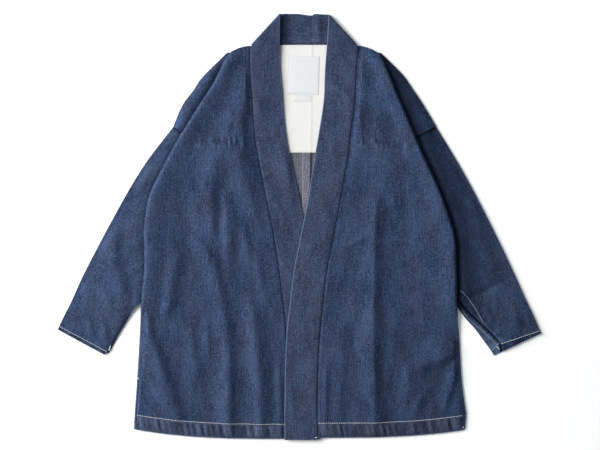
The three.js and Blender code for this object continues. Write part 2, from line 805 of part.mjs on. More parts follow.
// The origin is below the middle of the whole jacket.
jacket.updateMatrixWorld(true);
const extent = new THREE.Box3().setFromObject(jacket);
const middle = extent.getCenter(new THREE.Vector3());
jacket.position.set(-middle.x, -middle.y, -extent.min.z);

export default jacket;
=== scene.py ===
import math
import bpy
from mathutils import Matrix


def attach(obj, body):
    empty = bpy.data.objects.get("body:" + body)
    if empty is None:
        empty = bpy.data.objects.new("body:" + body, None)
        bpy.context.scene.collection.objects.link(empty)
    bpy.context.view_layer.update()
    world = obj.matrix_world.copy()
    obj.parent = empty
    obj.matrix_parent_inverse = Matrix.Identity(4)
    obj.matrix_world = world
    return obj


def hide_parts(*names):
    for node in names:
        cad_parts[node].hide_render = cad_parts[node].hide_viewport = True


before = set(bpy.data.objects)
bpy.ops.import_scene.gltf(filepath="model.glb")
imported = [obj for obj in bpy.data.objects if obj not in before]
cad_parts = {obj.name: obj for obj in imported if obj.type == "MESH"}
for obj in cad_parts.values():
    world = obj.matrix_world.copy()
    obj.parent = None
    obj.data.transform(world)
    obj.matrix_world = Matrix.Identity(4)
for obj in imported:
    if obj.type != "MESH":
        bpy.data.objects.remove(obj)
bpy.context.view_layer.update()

from types import SimpleNamespace

import bpy
import numpy as np
from mathutils import Vector

# A noragi jacket in denim, laid flat. Sizes are in millimetres on the cutting table: X runs
# across the jacket, Y from the hem up to the neck and Z up from the floor. Everything is
# turned into the frame's metres in one place, `to_frame`.

# ---- driving sizes, the same as the solids' ----
PLY = 1.2
BAND = 2.4
LINING = 1.0
GAP = 0.3
LAYER = 1.7

# The heights of the middle of each ply.
FLOOR_PLY = PLY / 2
EDGE_PLY = 2.1
FRONT_PLY = 4.4
NECK_BAND = BAND / 2
UNDER_BAND = 4.0
LINING_HEIGHT = 2.0

BAND_STEP = 2.8  # the left front's collar climbs this much to cross over the right one
BACK_INSET = 5  # the back's fold lies this far inside the front's

# Stations down the body, which are rows of BODY.
SLEEVE_SEAM = 4
ARMPIT = 10
HEM_TOP = 13
HEM_LINE = 14
HEM_EDGE = 15

# ---- sizes that only the dressed cloth has ----
CELL = 3.0  # size of its mesh cells
HEM_DEPTH = 28
BAND_WIDTH = 62
LABEL = 0.4
LABEL_MIDDLE = 2.75
NECK_LIFT = {"free": 4.8, "sewn": 2.2}  # the collar's fold stands up off the neck
NECK_LIFT_FROM = {"free": 705, "sewn": 560}  # Y where its edges begin to go up to the fold
NECK_LIFT_RUN = {"free": 100, "sewn": 160}
NECK_FOLLOWS = {"right": 0.5, "left": 1.0}  # the share of it that the panel's edge takes
ROLL_RISE = {"right": 3.6, "left": 6.4}  # the fronts' folds over the sleeves are fat rolls
SHOULDER_PUFF = {"right": 4.2, "left": 3.6}
ROLL_RUN = {"right": 7.0, "left": 3.6}
ROLL_FALL = 34
FRONT_GAIN = {"right": 1.75, "left": 1.6}  # how deep the folds are all told
SLEEVE_GAIN = 1.5
COLLAR_GAIN = 1.7
DITCH = {"right": 0.8, "left": 0.2}  # depth of the seam beside the collar
PUCKER_ROW = {"right": (567, -226, -88), "left": (564, 106, 240)}  # Y, and from X to X

SIDE_VENT = (34, 117)  # the slit in the right side seam, in Y
VENT_STRIP = 5.0  # width of the back that shows beside it
HEM_CORNER = {"right": 1.5, "left": 9.0}  # how round the hem's corner at the side is
PAINTED_FOLD_SHADOW = {"right": 0.45, "left": 0.7}  # painted shadow on the cloth that comes out from below a fold
PAINTED_FOLD_SHADOW_WIDTH = {"right": 5, "left": 10}
PAINTED_SHADE_BEYOND_FOLD = {"right": 0.0, "left": 0.68}  # and how much painted shade goes on beyond it, over the sleeve
SLEEVE_SWELL = {"right": 0.0, "left": 3.6}  # the sleeve leans up against the fold
FOLD_EDGE_WEAR_AND_HIGHLIGHT = {"right": 0.7, "left": 0.2}  # the collar is pale on its fold: rubbed, with a painted highlight, most on the right one near the light

# The unevenness of each cloth: rows of height, width and length of its bumps, and seed.
UNEVEN = {
    "front": [(0.9, 24, 70, 31), (0.45, 10, 34, 32), (0.22, 5, 22, 33)],
    "shoulder": [(0.5, 13, 26, 46)],
    "sleeve": [(0.7, 18, 42, 51), (0.35, 8, 18, 52)],
    "band": [(0.45, 22, 54, 61)],
    "neck": [(0.3, 18, 20, 65)],
    "allowance": [(0.2, 12, 40, 45)],
    "lining": [(0.12, 26, 40, 71)],
    "label": [(0.1, 14, 22, 72)],
}

# How each front is marked: painted shade in the seam beside the collar, how dark it is low down
# and on its hem, a painted highlight beside that seam, and how pale it is along its edge, where
# it is rubbed and has a painted highlight.
FRONT_MARKS_AND_PAINTED_LIGHT = {
    "right": SimpleNamespace(seam=0.65, low=0.0, hem=0.0, beside=0.0, edge=1.0),
    "left": SimpleNamespace(seam=0.12, low=0.1, hem=0.06, beside=0.35, edge=0.3),
}

# The origin of the frame on the cutting table: below the middle of the jacket's outline.
ORIGIN = np.array([-1.07, 404.53, 0.0])


def table(names, rows):
    columns = names.split()
    return {name: np.array([row[k] for row in rows], float) for k, name in enumerate(columns)}


# One row for each station from the shoulder to the hem. seam: where the collar is sewn on.
# edge: the fold over the sleeve down to the armpit, then the side seam. free: the collar's
# free edge.
BODY_COLUMNS = "seamX seamY edgeX edgeY freeX freeY"
BODY = {
    "right": table(BODY_COLUMNS, [
        [-95, 748.6, -136, 736, -39.9, 808.5],
        [-94, 694, -162.5, 681, -37, 711],
        [-91, 656, -182, 650, -33, 661],
        [-89, 621, -201, 621, -30, 621],
        [-86, 580, -226, 581, -25.5, 580],
        [-79, 536, -250, 538, -18, 536],
        [-71, 496, -271, 497, -9.1, 496],
        [-63, 456, -287.5, 458, -0.2, 456],
        [-51, 399, -296, 399, 11.4, 399],
        [-40, 327, -295, 333, 22.8, 327],
        [-31, 260, -301, 264, 30.4, 260],
        [-26, 200, -304, 203, 37, 200],
        [-23, 118, -309, 120, 38, 118],
        [-22, 33, -314, 51, 39, 33],
        [-22, 32, -314, 50, 39, 32],
        [-22, 2.7, -315.4, 21, 39, 2],
    ]),
    "left": table(BODY_COLUMNS, [
        [110.2, 748.6, 150, 736, 56.5, 807],
        [106.8, 693, 173.3, 684.8, 47.9, 711],
        [104.9, 654, 185.8, 653.2, 45.8, 657],
        [102.6, 625, 198.6, 624.9, 42.4, 625],
        [96, 579.5, 220.4, 572.9, 35, 579.5],
        [92.2, 540, 233.1, 543, 28.3, 540],
        [83, 492, 256.5, 492.1, 20.5, 492],
        [75, 448.4, 274.2, 448.4, 13.7, 448.4],
        [63.7, 386.3, 293, 386.3, 1, 386.3],
        [50.5, 319.6, 296.8, 319.6, -12, 319.6],
        [43.7, 260, 297.5, 259, -19, 260],
        [37.8, 201.4, 302.1, 197.6, -25.5, 201.4],
        [33.3, 117.8, 306.9, 114, -28.7, 117.8],
        [32.9, 34, 315.2, 50, -29.5, 34],
        [32.9, 33, 315.2, 49, -29.5, 33],
        [32.9, 4.8, 313.5, 20, -29.5, 1],
    ]),
}

# The outline of the shoulder, at the same stations as the first rows of BODY.
SHOULDER = {
    "right": table("x y", [
        [-139.5, 734], [-184, 690], [-201.4, 665], [-223, 635.5], [-240, 596]]),
    "left": table("x y", [
        [154, 734], [193.5, 694.5], [214.3, 665.4], [232, 639.3], [257.6, 596.6]]),
}

# The pleat beside the sleeve. turn: how far the ply turns under, in degrees. tuck: its flat
# length under the fold. radius: of both folds.
PLEAT = table("at turn tuck radius", [
    [0, 25, 0.6, 2],
    [0.25, 90, 0.7, 1.1],
    [0.5, 180, 1, 0.85],
    [1, 180, 6, 0.85],
    [2, 180, 12, 0.85],
    [3, 180, 18, 0.85],
    [4, 180, 22, 0.85],
    [5, 180, 24, 0.85],
    [7, 180, 24, 0.85],
    [8, 180, 22, 0.85],
    [9, 180, 16, 0.85],
    [10, 180, 5, 0.85],
])

# Height of the front's edge below the armpit, where it comes down on to the back's edge.
SIDE_RIM = table("at height", [
    [10, 9.1], [10.34, 6.4], [10.67, 3.8], [11, 2.2], [15, 2.2]])

# The sleeves from the armhole seam to the cuff. outer: the outer fold. top and under: the
# underarm edges of the top ply and of the ply beneath. loft: height of the top ply.
SLEEVE_COLUMNS = "outerX outerY topX topY underX underY loft"
SLEEVE = {
    "right": table(SLEEVE_COLUMNS, [
        [0, 0, 0, 0, 0, 0, 2.3],
        [-289, 532, -238, 504, -238, 504, 3],
        [-325, 475, -269, 447, -269, 447, 3.2],
        [-367, 399, -276, 352, -276, 352, 3.3],
        [-397, 342, -288, 281, -288, 281, 3.3],
        [-416, 304, -315, 248, -315, 248, 3.3],
        [-433, 266, -338, 211, -338, 211, 3.4],
        [-452, 228, -358, 178, -357, 176, 3.7],
        [-460, 210, -371, 162, -364, 165, 3.8],
    ]),
    "left": table(SLEEVE_COLUMNS, [
        [0, 0, 0, 0, 0, 0, 2.3],
        [302, 522.5, 226.2, 501.3, 226.2, 501.3, 3],
        [338.2, 456, 250.7, 439.8, 250.7, 439.8, 3.2],
        [380, 372.4, 274, 352, 274, 350, 3.3],
        [408.5, 311.6, 288.8, 288.8, 284, 281, 3.3],
        [425.6, 273.6, 317.3, 248.9, 309.7, 237.5, 3.3],
        [442.7, 237.5, 345.8, 221.4, 332.5, 210.9, 3.5],
        [454.1, 210.9, 378.1, 188.1, 359.1, 174.8, 3.7],
        [457.9, 203.3, 383.8, 168.2, 368.6, 160.6, 3.8],
    ]),
}

SIGN = {"right": -1, "left": 1}
CENTRE_BACK = {"topX": 22.8, "topY": 753, "lowX": 7.6, "lowY": 2}
NECK_ROWS = 24
NECK_TOP = 806.2  # the collar's top edge at the centre back
NECK_ARCH = {"right": (3.2, 0.5), "left": (3.2, 0.15)}  # rise, and the width's share it takes
NECK_RAISED = 0.8
NECK_FOLD = 2.0  # how far the fold bulges, seen from above
NECK_PAINTED_SHADOW_AT = -30  # where the neck part goes in under the right fold, and gets a painted shadow from it

# Folds and creases, placed one by one. Each is a path of points [x, y, rise, right, left]: rise
# is its height there, or its depth below zero, and right and left are the widths of its two
# slopes for someone who walks along it. SOFT is a round crest and PRESSED a sharper one.
SOFT = 2.0
PRESSED = 1.35
FRONT_FOLDS = {
    "right": [
        # the panel stands up beside the collar and drops to its seam
        (SOFT, [[-104, 722, 0, 24, 7], [-105, 665, 3.2, 30, 9], [-113, 608, 4.8, 34, 14],
                [-118, 551, 5.2, 34, 20], [-111, 500, 4.0, 28, 20], [-98, 462, 2.8, 22, 15],
                [-84, 415, 1.6, 18, 11], [-70, 375, 0, 14, 9]]),
        # soft folds from the chest down
        (SOFT, [[-152, 580, 0, 24, 14], [-162, 536, 4.0, 26, 19], [-169, 480, 4.8, 26, 16],
                [-169, 418, 3.8, 24, 11], [-165, 380, 0, 20, 9]]),
        (SOFT, [[-143, 480, 0, 6, 12], [-141, 446, 2.6, 7, 15], [-139, 392, 2.8, 8, 17],
                [-137, 330, 1.6, 9, 15], [-137, 286, 0, 9, 12]]),
        (SOFT, [[-209, 388, 0, 13, 10], [-190, 369, 2.4, 14, 12], [-171, 342, 3.8, 15, 13],
                [-156, 300, 3.6, 15, 12], [-146, 247, 3.0, 14, 11], [-138, 190, 3.8, 15, 12],
                [-136, 114, 4.8, 16, 13], [-136, 38, 3.8, 15, 13], [-135, -10, 1.4, 14, 13]]),
        (SOFT, [[-100, 284, 0, 12, 12], [-92, 238, 3.2, 14, 15], [-83, 172, 4.4, 15, 18],
                [-79, 100, 4.8, 15, 18], [-77, 38, 3.8, 14, 17], [-77, -10, 1.2, 13, 16]]),
        (SOFT, [[-41, 170, 0, 7, 7], [-40, 110, 1.8, 8, 7], [-39, 40, 1.6, 8, 7],
                [-39, -10, 0.5, 8, 7]]),
        (SOFT, [[-181, 238, 0, 9, 8], [-178, 196, 2.0, 10, 9], [-174, 140, 0, 9, 8]]),
        # the two deep ones by the armpit
        (SOFT, [[-287, 462, 0, 10, 9], [-286, 400, 3.8, 10, 12], [-283, 342, 4.2, 10, 12],
                [-276, 286, 0, 10, 11]]),
        (SOFT, [[-272, 428, 0, 9, 10], [-271, 396, -3.4, 9, 12], [-268, 352, -3.2, 9, 12],
                [-262, 312, 0, 8, 10]]),
        (SOFT, [[-230, 366, 0, 13, 12], [-239, 340, 4.6, 14, 15], [-248, 300, 6.0, 15, 17],
                [-252, 260, 4.6, 14, 15], [-257, 226, 0, 12, 10]]),
        # the slanting ones at the side, above the hem
        (SOFT, [[-298, 262, 0, 12, 9], [-291, 226, 3.4, 16, 10], [-277, 171, 4.6, 22, 12],
                [-257, 114, 4.8, 24, 13], [-238, 60, 3.6, 20, 12], [-228, 26, 0, 14, 10]]),
        (SOFT, [[-312, 126, 0, 9, 9], [-288, 86, -2.4, 9, 10], [-262, 50, -2.2, 9, 10],
                [-250, 30, 0, 8, 8]]),
        # shallow ones between them
        (SOFT, [[-196, 632, 0, 12, 9], [-186, 590, 1.5, 12, 10], [-196, 540, 0, 12, 10]]),
        (SOFT, [[-128, 640, 0, 8, 8], [-134, 600, 1.6, 9, 8], [-144, 560, 0, 8, 8]]),
        (SOFT, [[-214, 520, 0, 12, 10], [-206, 470, 1.6, 14, 12], [-196, 410, 0, 12, 10]]),
        (SOFT, [[-208, 250, 0, 12, 11], [-204, 180, 1.4, 14, 12], [-198, 100, 1.2, 14, 12],
                [-196, 40, 0, 12, 11]]),
        (SOFT, [[-84, 360, 0, 9, 8], [-78, 320, 1.4, 9, 8], [-66, 270, 0, 8, 8]]),
        (SOFT, [[-112, 420, 0, 8, 8], [-104, 380, 1.3, 9, 8], [-100, 330, 0, 8, 8]]),
    ],
    "left": [
        # the panel stands up a little beside the collar
        (SOFT, [[120, 730, 0, 8, 16], [119, 690, 2.0, 9, 20], [117, 640, 2.2, 9, 20],
                [109, 580, 2.0, 9, 18], [103, 540, 1.6, 8, 16], [94, 490, 0, 7, 14]]),
        # the long pressed fold
        (PRESSED, [[148, 474, 0, 16, 8], [143, 440, 4.0, 20, 12], [140, 380, 5.4, 24, 16],
                   [139, 266, 6.4, 24, 17], [139, 152, 7.0, 24, 17], [141, 46, 6.0, 22, 17],
                   [142, -10, 1.6, 20, 16]]),
        # the broad swell of the shoulder
        (SOFT, [[156, 706, 0, 30, 20], [163, 640, 3.2, 44, 30], [169, 560, 4.4, 46, 32],
                [177, 482, 3.2, 42, 30], [188, 416, 0, 34, 26]]),
        # drag lines to the side above the hem
        (SOFT, [[314, 184, 0, 20, 9], [300, 173, 3.2, 26, 11], [266, 158, 4.6, 32, 13],
                [234, 146, 4.4, 28, 16], [212, 134, 3.6, 18, 24], [205, 104, 3.2, 14, 30],
                [199, 62, 1.8, 10, 26], [196, 36, 0, 9, 20]]),
        (SOFT, [[304, 160, 0, 8, 7], [296, 140, 2.8, 10, 7], [288, 112, 3.4, 11, 7],
                [279, 84, 3.0, 11, 7], [273, 60, 1.6, 9, 7], [270, 38, 0, 8, 7]]),
        (SOFT, [[246, 106, 0, 7, 9], [228, 78, 1.6, 8, 10], [216, 52, 1.2, 8, 9],
                [208, 34, 0, 7, 8]]),
        (SOFT, [[266, 96, 0, 9, 9], [252, 66, 1.4, 9, 9], [246, 34, 0, 8, 8]]),
        # a pressed line across, and small ones by the collar
        (PRESSED, [[156, 377, 0, 4, 7], [190, 379, 1.5, 4, 8], [232, 372, 1.5, 4, 9],
                   [284, 362, 0, 4, 7]]),
        (PRESSED, [[76, 370, 0, 7, 5], [98, 374, 1.8, 8, 6], [120, 386, 1.6, 8, 6],
                   [136, 400, 0, 6, 5]]),
        (SOFT, [[158, 446, 0, 5, 5], [178, 448, 0.8, 5, 6], [196, 444, 0, 5, 5]]),
        (SOFT, [[222, 444, 0, 5, 5], [250, 440, 0.8, 5, 6], [272, 434, 0, 5, 5]]),
        # shallow ones
        (SOFT, [[172, 300, 0, 18, 16], [176, 250, 1.8, 22, 18], [176, 170, 1.6, 22, 18],
                [178, 110, 0, 18, 16]]),
        (SOFT, [[114, 640, 0, 6, 6], [113, 605, 1.4, 6, 7], [114, 570, 0, 6, 6]]),
        (SOFT, [[84, 250, 0, 12, 11], [80, 190, 1.6, 13, 12], [76, 110, 1.6, 13, 12],
                [74, 20, 0.6, 12, 11]]),
        (SOFT, [[50, 160, 0, 5, 5], [48, 110, 1.3, 5, 6], [47, 30, 0.8, 5, 6],
                [47, -10, 0, 5, 5]]),
        (SOFT, [[196, 640, 0, 14, 12], [214, 580, 1.6, 16, 13], [236, 520, 0, 14, 12]]),
        (SOFT, [[228, 340, 0, 14, 12], [232, 290, 1.6, 16, 13], [226, 240, 0, 14, 12]]),
        (SOFT, [[112, 100, 0, 7, 7], [108, 60, 1.1, 8, 7], [106, 10, 0.5, 8, 7]]),
    ],
}
SLEEVE_FOLDS = {
    "right": [
        (SOFT, [[-344, 424, 0, 18, 11], [-355, 372, 3.0, 22, 13], [-353, 332, 3.6, 22, 14],
                [-340, 298, 2.8, 18, 13], [-330, 262, 0, 15, 11]]),
        (SOFT, [[-326, 282, 0, 14, 8], [-338, 232, 2.2, 16, 9], [-358, 188, 0.8, 14, 8]]),
        (SOFT, [[-310, 430, 0, 7, 7], [-305, 372, 1.8, 8, 7], [-297, 350, 0, 7, 6]]),
        (SOFT, [[-402, 240, 0, 7, 6], [-398, 216, 1.6, 8, 6], [-392, 194, 0.6, 7, 6]]),
        (SOFT, [[-380, 246, 0, 7, 6], [-372, 212, 1.5, 8, 6], [-368, 190, 0.4, 7, 6]]),
        (SOFT, [[-412, 306, 0, 12, 9], [-402, 278, 1.7, 13, 10], [-390, 246, 0, 12, 9]]),
        (SOFT, [[-372, 300, 0, 12, 10], [-366, 262, 1.6, 13, 11], [-362, 226, 0, 12, 10]]),
        (SOFT, [[-274, 530, 0, 8, 7], [-294, 492, 1.4, 9, 8], [-312, 452, 0, 9, 8]]),
    ],
    "left": [
        (SOFT, [[306, 268, 0, 9, 8], [326, 274, -2.2, 9, 8], [352, 284, -2.4, 9, 8],
                [378, 300, -1.6, 8, 8], [414, 314, 0, 8, 7]]),
        (SOFT, [[318, 470, 0, 12, 16], [336, 410, 2.0, 14, 18], [352, 350, 2.6, 14, 18],
                [362, 306, 0, 12, 14]]),
        (SOFT, [[346, 268, 0, 7, 7], [356, 240, 1.3, 7, 7], [374, 218, 0, 7, 7]]),
        (SOFT, [[398, 270, 0, 8, 7], [408, 238, 1.4, 8, 7], [414, 204, 0.4, 8, 7]]),
        (SOFT, [[428, 258, 0, 7, 6], [434, 232, 1.0, 7, 6], [438, 210, 0, 7, 6]]),
    ],
}
COLLAR_FOLDS = {
    "right": [
        (SOFT, [[-92, 660, 0, 10, 9], [-78, 630, 1.1, 11, 10], [-66, 590, 0, 10, 9]]),
        (SOFT, [[-84, 585, 0, 6, 5], [-62, 577, 0.8, 7, 5], [-42, 582, 0, 5, 5]]),
        (PRESSED, [[-75, 512, 0, 3, 3], [-66, 505, 1.1, 4, 3], [-56, 506, 0, 3, 3]]),
        (SOFT, [[-36, 566, 0, 12, 7], [-26, 515, 2.0, 20, 8], [-18, 462, 1.4, 18, 8],
                [-12, 420, 0, 12, 7]]),
        (SOFT, [[-52, 470, 0, 9, 7], [-36, 430, 1.2, 10, 8], [-20, 380, 0, 8, 7]]),
        (SOFT, [[-18, 330, 0, 7, 6], [-12, 280, 0.8, 7, 6], [-8, 240, 0, 7, 6]]),
    ],
    "left": [
        (PRESSED, [[44, 676, 0, 8, 6], [66, 669, 2.0, 9, 6], [87, 655, 2.2, 9, 6],
                   [99, 636, 0, 8, 6]]),
        (SOFT, [[58, 600, 0, 9, 8], [64, 550, 1.0, 10, 9], [58, 500, 0, 9, 8]]),
        (SOFT, [[32, 470, 0, 8, 7], [50, 430, 1.0, 9, 8], [58, 386, 0, 8, 7]]),
        (SOFT, [[-4, 380, 0, 8, 7], [16, 366, 1.0, 9, 8], [44, 372, 0, 8, 7]]),
        (SOFT, [[-8, 260, 0, 7, 6], [6, 210, 0.8, 8, 7], [4, 150, 0, 7, 6]]),
        (SOFT, [[-20, 120, 0, 7, 6], [-14, 70, 0.7, 7, 6], [-14, 20, 0.3, 7, 6]]),
    ],
}


# ---- small helpers ----

def smooth(value):
    v = np.clip(value, 0, 1)
    return v * v * (3 - 2 * v)


def rounded(value):
    return np.sin(np.pi / 2 * np.clip(value, 0, 1))


def bell(distance, width):
    return np.exp(-(distance / width) ** 2)


def through(values, t):
    """Catmull-Rom through a column whose rows are the whole numbers."""
    t = np.asarray(t, float)
    last = len(values) - 1
    row = np.minimum(np.floor(t).astype(int), last - 1)
    first = 2 * values[0] - values[1]
    end = 2 * values[-1] - values[-2]
    padded = np.concatenate([[first], values, [end]])
    before, a, b, after = (padded[row + k] for k in range(4))
    f = t - row
    slope_a = (b - before) / 2
    slope_b = (after - a) / 2
    return ((2 * f**3 - 3 * f**2 + 1) * a + (f**3 - 2 * f**2 + f) * slope_a
            + (3 * f**2 - 2 * f**3) * b + (f**3 - f**2) * slope_b)


def between(rows, column, t):
    return np.interp(t, rows["at"], rows[column])


def place_in(rows, name, t):
    return np.stack([through(rows[name + "X"], t), through(rows[name + "Y"], t)], axis=-1)


def spread(start, end, share):
    """Rows of points from a point of one line to the same point of another."""
    return start[:, None, :] * (1 - share) + end[:, None, :] * share


def lifted(spot, height):
    """Points seen from above, with their heights."""
    return np.concatenate([spot, height[..., None]], axis=-1)


def apart(spots, line):
    """How far each row of points is from the row's point of a line."""
    return np.linalg.norm(spots - line[:, None, :], axis=-1)


def run_along(points):
    """How far along a line of points each of them is."""
    steps = np.linalg.norm(np.diff(points, axis=0), axis=1)
    return np.concatenate([[0], np.cumsum(steps)])


def unit(vectors):
    return vectors / np.maximum(np.linalg.norm(vectors, axis=-1, keepdims=True), 1e-9)


def soft_noise(x, y, size_x, size_y, seed):
    """Smooth noise between -1 and 1 whose bumps are about size_x by size_y."""
    cells = 64
    lattice = np.random.default_rng(seed).uniform(-1, 1, (cells, cells))
    u = x / size_x + 31.7
    v = y / size_y + 17.3
    i = np.floor(u).astype(int)
    j = np.floor(v).astype(int)
    fu = smooth(u - i)
    fv = smooth(v - j)

    def row(k):
        return lattice[i % cells, k % cells] * (1 - fu) + lattice[(i + 1) % cells, k % cells] * fu

    return row(j) * (1 - fv) + row(j + 1) * fv


def row_noise(along, size, seed):
    """The same along one line."""
    return soft_noise(along, along * 0, size, 1, seed)


def uneven(name, x, y):
    return sum(height * soft_noise(x, y, *bumps) for height, *bumps in UNEVEN[name])


def folds_at(folds, x, y):
    """The height that the folds add at each point."""
    height = np.zeros_like(x)
    for crest, path in folds:
        points = np.array(path, float)
        count = len(points) - 1
        t = np.linspace(0, count, count * 5 + 1)
        line = np.stack([through(points[:, k], t) for k in range(5)], axis=-1)
        nearest = np.full(x.shape, np.inf)
        added = np.zeros_like(x)
        for a, b in zip(line[:-1], line[1:]):
            way = b[:2] - a[:2]
            f = np.clip(((x - a[0]) * way[0] + (y - a[1]) * way[1]) / (way @ way), 0, 1)
            dx = x - a[0] - way[0] * f
            dy = y - a[1] - way[1] * f
            distance = np.hypot(dx, dy)
            here = a + (b - a) * f[..., None]
            on_left = way[0] * dy - way[1] * dx > 0
            width = np.where(on_left, here[..., 4], here[..., 3])
            closer = distance < nearest
            shape = here[..., 2] * np.exp(-(distance / width) ** crest)
            added = np.where(closer, shape, added)
            nearest = np.minimum(nearest, distance)
        height += added
    return height


def relief(height, reach):
    """How far each point stands above its neighbours."""
    blurred = height.copy()
    for _ in range(reach):
        padded = np.pad(blurred, 1, mode="edge")
        blurred = (padded[:-2, 1:-1] + padded[2:, 1:-1] + padded[1:-1, :-2]
                   + padded[1:-1, 2:] + 4 * blurred) / 8
    return height - blurred


def wear_and_trough_shade(height):
    """Crests are a little rubbed pale, and troughs get a little painted shade."""
    return np.clip(relief(height, 4) * 0.25, -0.2, 0.2)


def to_frame(points):
    return (np.asarray(points, float) - ORIGIN) / 1000


# ---- cloth ----

def weave_of(grid):
    """Places on the flat cloth: across it along a row, and down it."""
    steps = np.linalg.norm(np.diff(grid, axis=1), axis=2)
    across = np.concatenate([np.zeros((len(grid), 1)), np.cumsum(steps, axis=1)], axis=1)
    down = run_along(grid[:, grid.shape[1] // 3])
    return lifted(across[..., None], np.broadcast_to(down[:, None], across.shape))


def rim_faces(kept, corner, shift):
    """The faces round the rim of the cells that are kept, from the outer side to the inner."""
    framed = np.pad(kept, 1)
    beside = [framed[:-2, 1:-1], framed[1:-1, 2:], framed[2:, 1:-1], framed[1:-1, :-2]]
    rims = []
    for side, neighbour in enumerate(beside):
        open_side = kept & ~neighbour
        a = corner[side][open_side]
        b = corner[(side + 1) % 4][open_side]
        rims.append(np.stack([b, a, a + shift, b + shift], axis=1))
    return np.concatenate(rims)


def shell(grid, up, tone, thickness=PLY, keep=None, weave=None, turned=None, trim=None):
    """A closed thin shell of cloth about a grid of middle points, as arrays.

    up: whether its face looks up in the first corner. keep: the cells that are cloth. tone:
    above zero how pale each point is, where it is rubbed and where it has a painted highlight,
    and below zero how dark, mostly painted shade in hollows and under folds. turned: the cells
    whose inner side shows the cloth's face, as a turned hem does. trim: the cells that take the
    third material."""
    rows, columns = grid.shape[:2]
    half = np.broadcast_to(np.asarray(thickness, float) / 2, (rows, columns))[..., None]
    normals = unit(np.cross(np.gradient(grid, axis=1), np.gradient(grid, axis=0)))
    facing = 1.0 if (normals[0, 0, 2] > 0) == up else -1.0
    normals = normals * facing
    over = (grid + normals * half).reshape(-1, 3)
    under = (grid - normals * half).reshape(-1, 3)
    kept = np.ones((rows - 1, columns - 1), bool) if keep is None else keep
    count = rows * columns
    number = np.arange(count).reshape(rows, columns)
    corner = [number[:-1, :-1], number[:-1, 1:], number[1:, 1:], number[1:, :-1]]
    outer = np.stack([c[kept] for c in corner], axis=1)
    rims = rim_faces(kept, corner, count)
    faces = np.concatenate([outer, outer[:, ::-1] + count, rims])
    wrong_side = np.ones(len(outer)) if turned is None else 1.0 - turned[kept]
    right_side = np.zeros(len(outer)) if trim is None else 2.0 * trim[kept]
    places = lifted(weave_of(grid) if weave is None else weave, np.zeros((rows, columns)))
    return {
        "points": np.concatenate([over, under]),
        "faces": faces[:, ::-1] if facing < 0 else faces,
        "slots": np.concatenate([right_side, wrong_side, np.zeros(len(rims))]),
        "weave": np.tile(places.reshape(-1, 3) / 1000, (2, 1)),
        "tone": np.tile(tone.reshape(-1), 2),
        "surface": over[np.unique(outer)],
    }


def mesh_object(name, points, faces, materials):
    mesh = bpy.data.meshes.new(name)
    mesh.from_pydata(points, [], faces)
    for material in materials:
        mesh.materials.append(material)
    made = bpy.data.objects.new(name, mesh)
    bpy.context.scene.collection.objects.link(made)
    return made


def cloth_object(name, part, materials):
    """A shell as a mesh object, and the points of its upper side on the cutting table."""
    used, packed = np.unique(part["faces"], return_inverse=True)
    points = to_frame(part["points"][used])
    faces = packed.reshape(part["faces"].shape)
    made = mesh_object(name, points.tolist(), faces.tolist(), materials)
    mesh = made.data
    mesh.polygons.foreach_set("material_index", part["slots"].astype(np.int32))
    mesh.polygons.foreach_set("use_smooth", np.ones(len(mesh.polygons), bool))
    weave = mesh.attributes.new("weave", "FLOAT_VECTOR", "POINT")
    weave.data.foreach_set("vector", part["weave"][used].astype(np.float32).ravel())
    tone = mesh.attributes.new("tone", "FLOAT", "POINT")
    tone.data.foreach_set("value", part["tone"][used].astype(np.float32))
    mesh.update()
    mesh.set_sharp_from_angle(angle=math.radians(60))
    return made, part["surface"]


# ---- the fold edge and the pleat ----

def edge_frame(side, t):
    step = 0.4
    before = place_in(BODY[side], "edge", np.maximum(t - step, 0))
    after = place_in(BODY[side], "edge", np.minimum(t + step, HEM_EDGE))
    along = unit(after - before)
    out = np.stack([-along[..., 1], along[..., 0]], axis=-1) * SIGN[side]
    return place_in(BODY[side], "edge", t), out


def pleat_at(t):
    turn = np.radians(between(PLEAT, "turn", t))
    tuck = between(PLEAT, "tuck", t)
    radius = between(PLEAT, "radius", t)
    drop = 2 * radius * (1 - np.cos(turn)) + tuck * np.sin(turn)
    return turn, tuck, radius, drop


TURN_STEPS = 9
TUCK_STEPS = 6
SHOULDER_STEPS = 14


def pleat_section(t):
    """Each row's pleat in section: out from the fold's outermost point, and drop."""
    turn, tuck, radius, _ = (value[:, None] for value in pleat_at(t))
    f = np.arange(1, TURN_STEPS + 1) / TURN_STEPS
    angle = turn * f
    out_a = -radius - PLY / 2 + radius * np.sin(angle)
    drop_a = radius * (1 - np.cos(angle))
    run = tuck * np.arange(1, TUCK_STEPS + 1) / TUCK_STEPS
    out_b = out_a[:, -1:] + run * np.cos(turn)
    drop_b = drop_a[:, -1:] + run * np.sin(turn)
    angle = turn * (1 - f)
    out_c = out_b[:, -1:] + radius * (np.sin(turn) - np.sin(angle))
    drop_c = drop_b[:, -1:] + radius * (np.cos(angle) - np.cos(turn))
    return np.hstack([out_a, out_b, out_c]), np.hstack([drop_a, drop_b, drop_c])


def stack_at(t):
    """Height of the front's main ply where it turns under at the fold."""
    return FLOOR_PLY + 2 * pleat_at(np.minimum(t, ARMPIT))[3] + LAYER


def fold_inset(t):
    return np.where(t <= ARMPIT, pleat_at(np.minimum(t, ARMPIT))[2] + PLY / 2, 0)


def shoulder_swell(t, f, width, plan, puff):
    """The ply beyond the pleat puffs up, uneven and gathered at the armhole's seam."""
    swell = puff * smooth((f - 0.15) / 0.5) * rounded((1 - f) / 0.25) * smooth(width / 30)
    gathered = 0.9 * row_noise(f * width, 5, 47) * bell((t[:, None] - SLEEVE_SEAM) * 32, 9)
    ripples = uneven("shoulder", plan[..., 0], plan[..., 1]) + gathered
    return swell + (puff > 0) * ripples * smooth(f * 5) * smooth((1 - f) * 6)


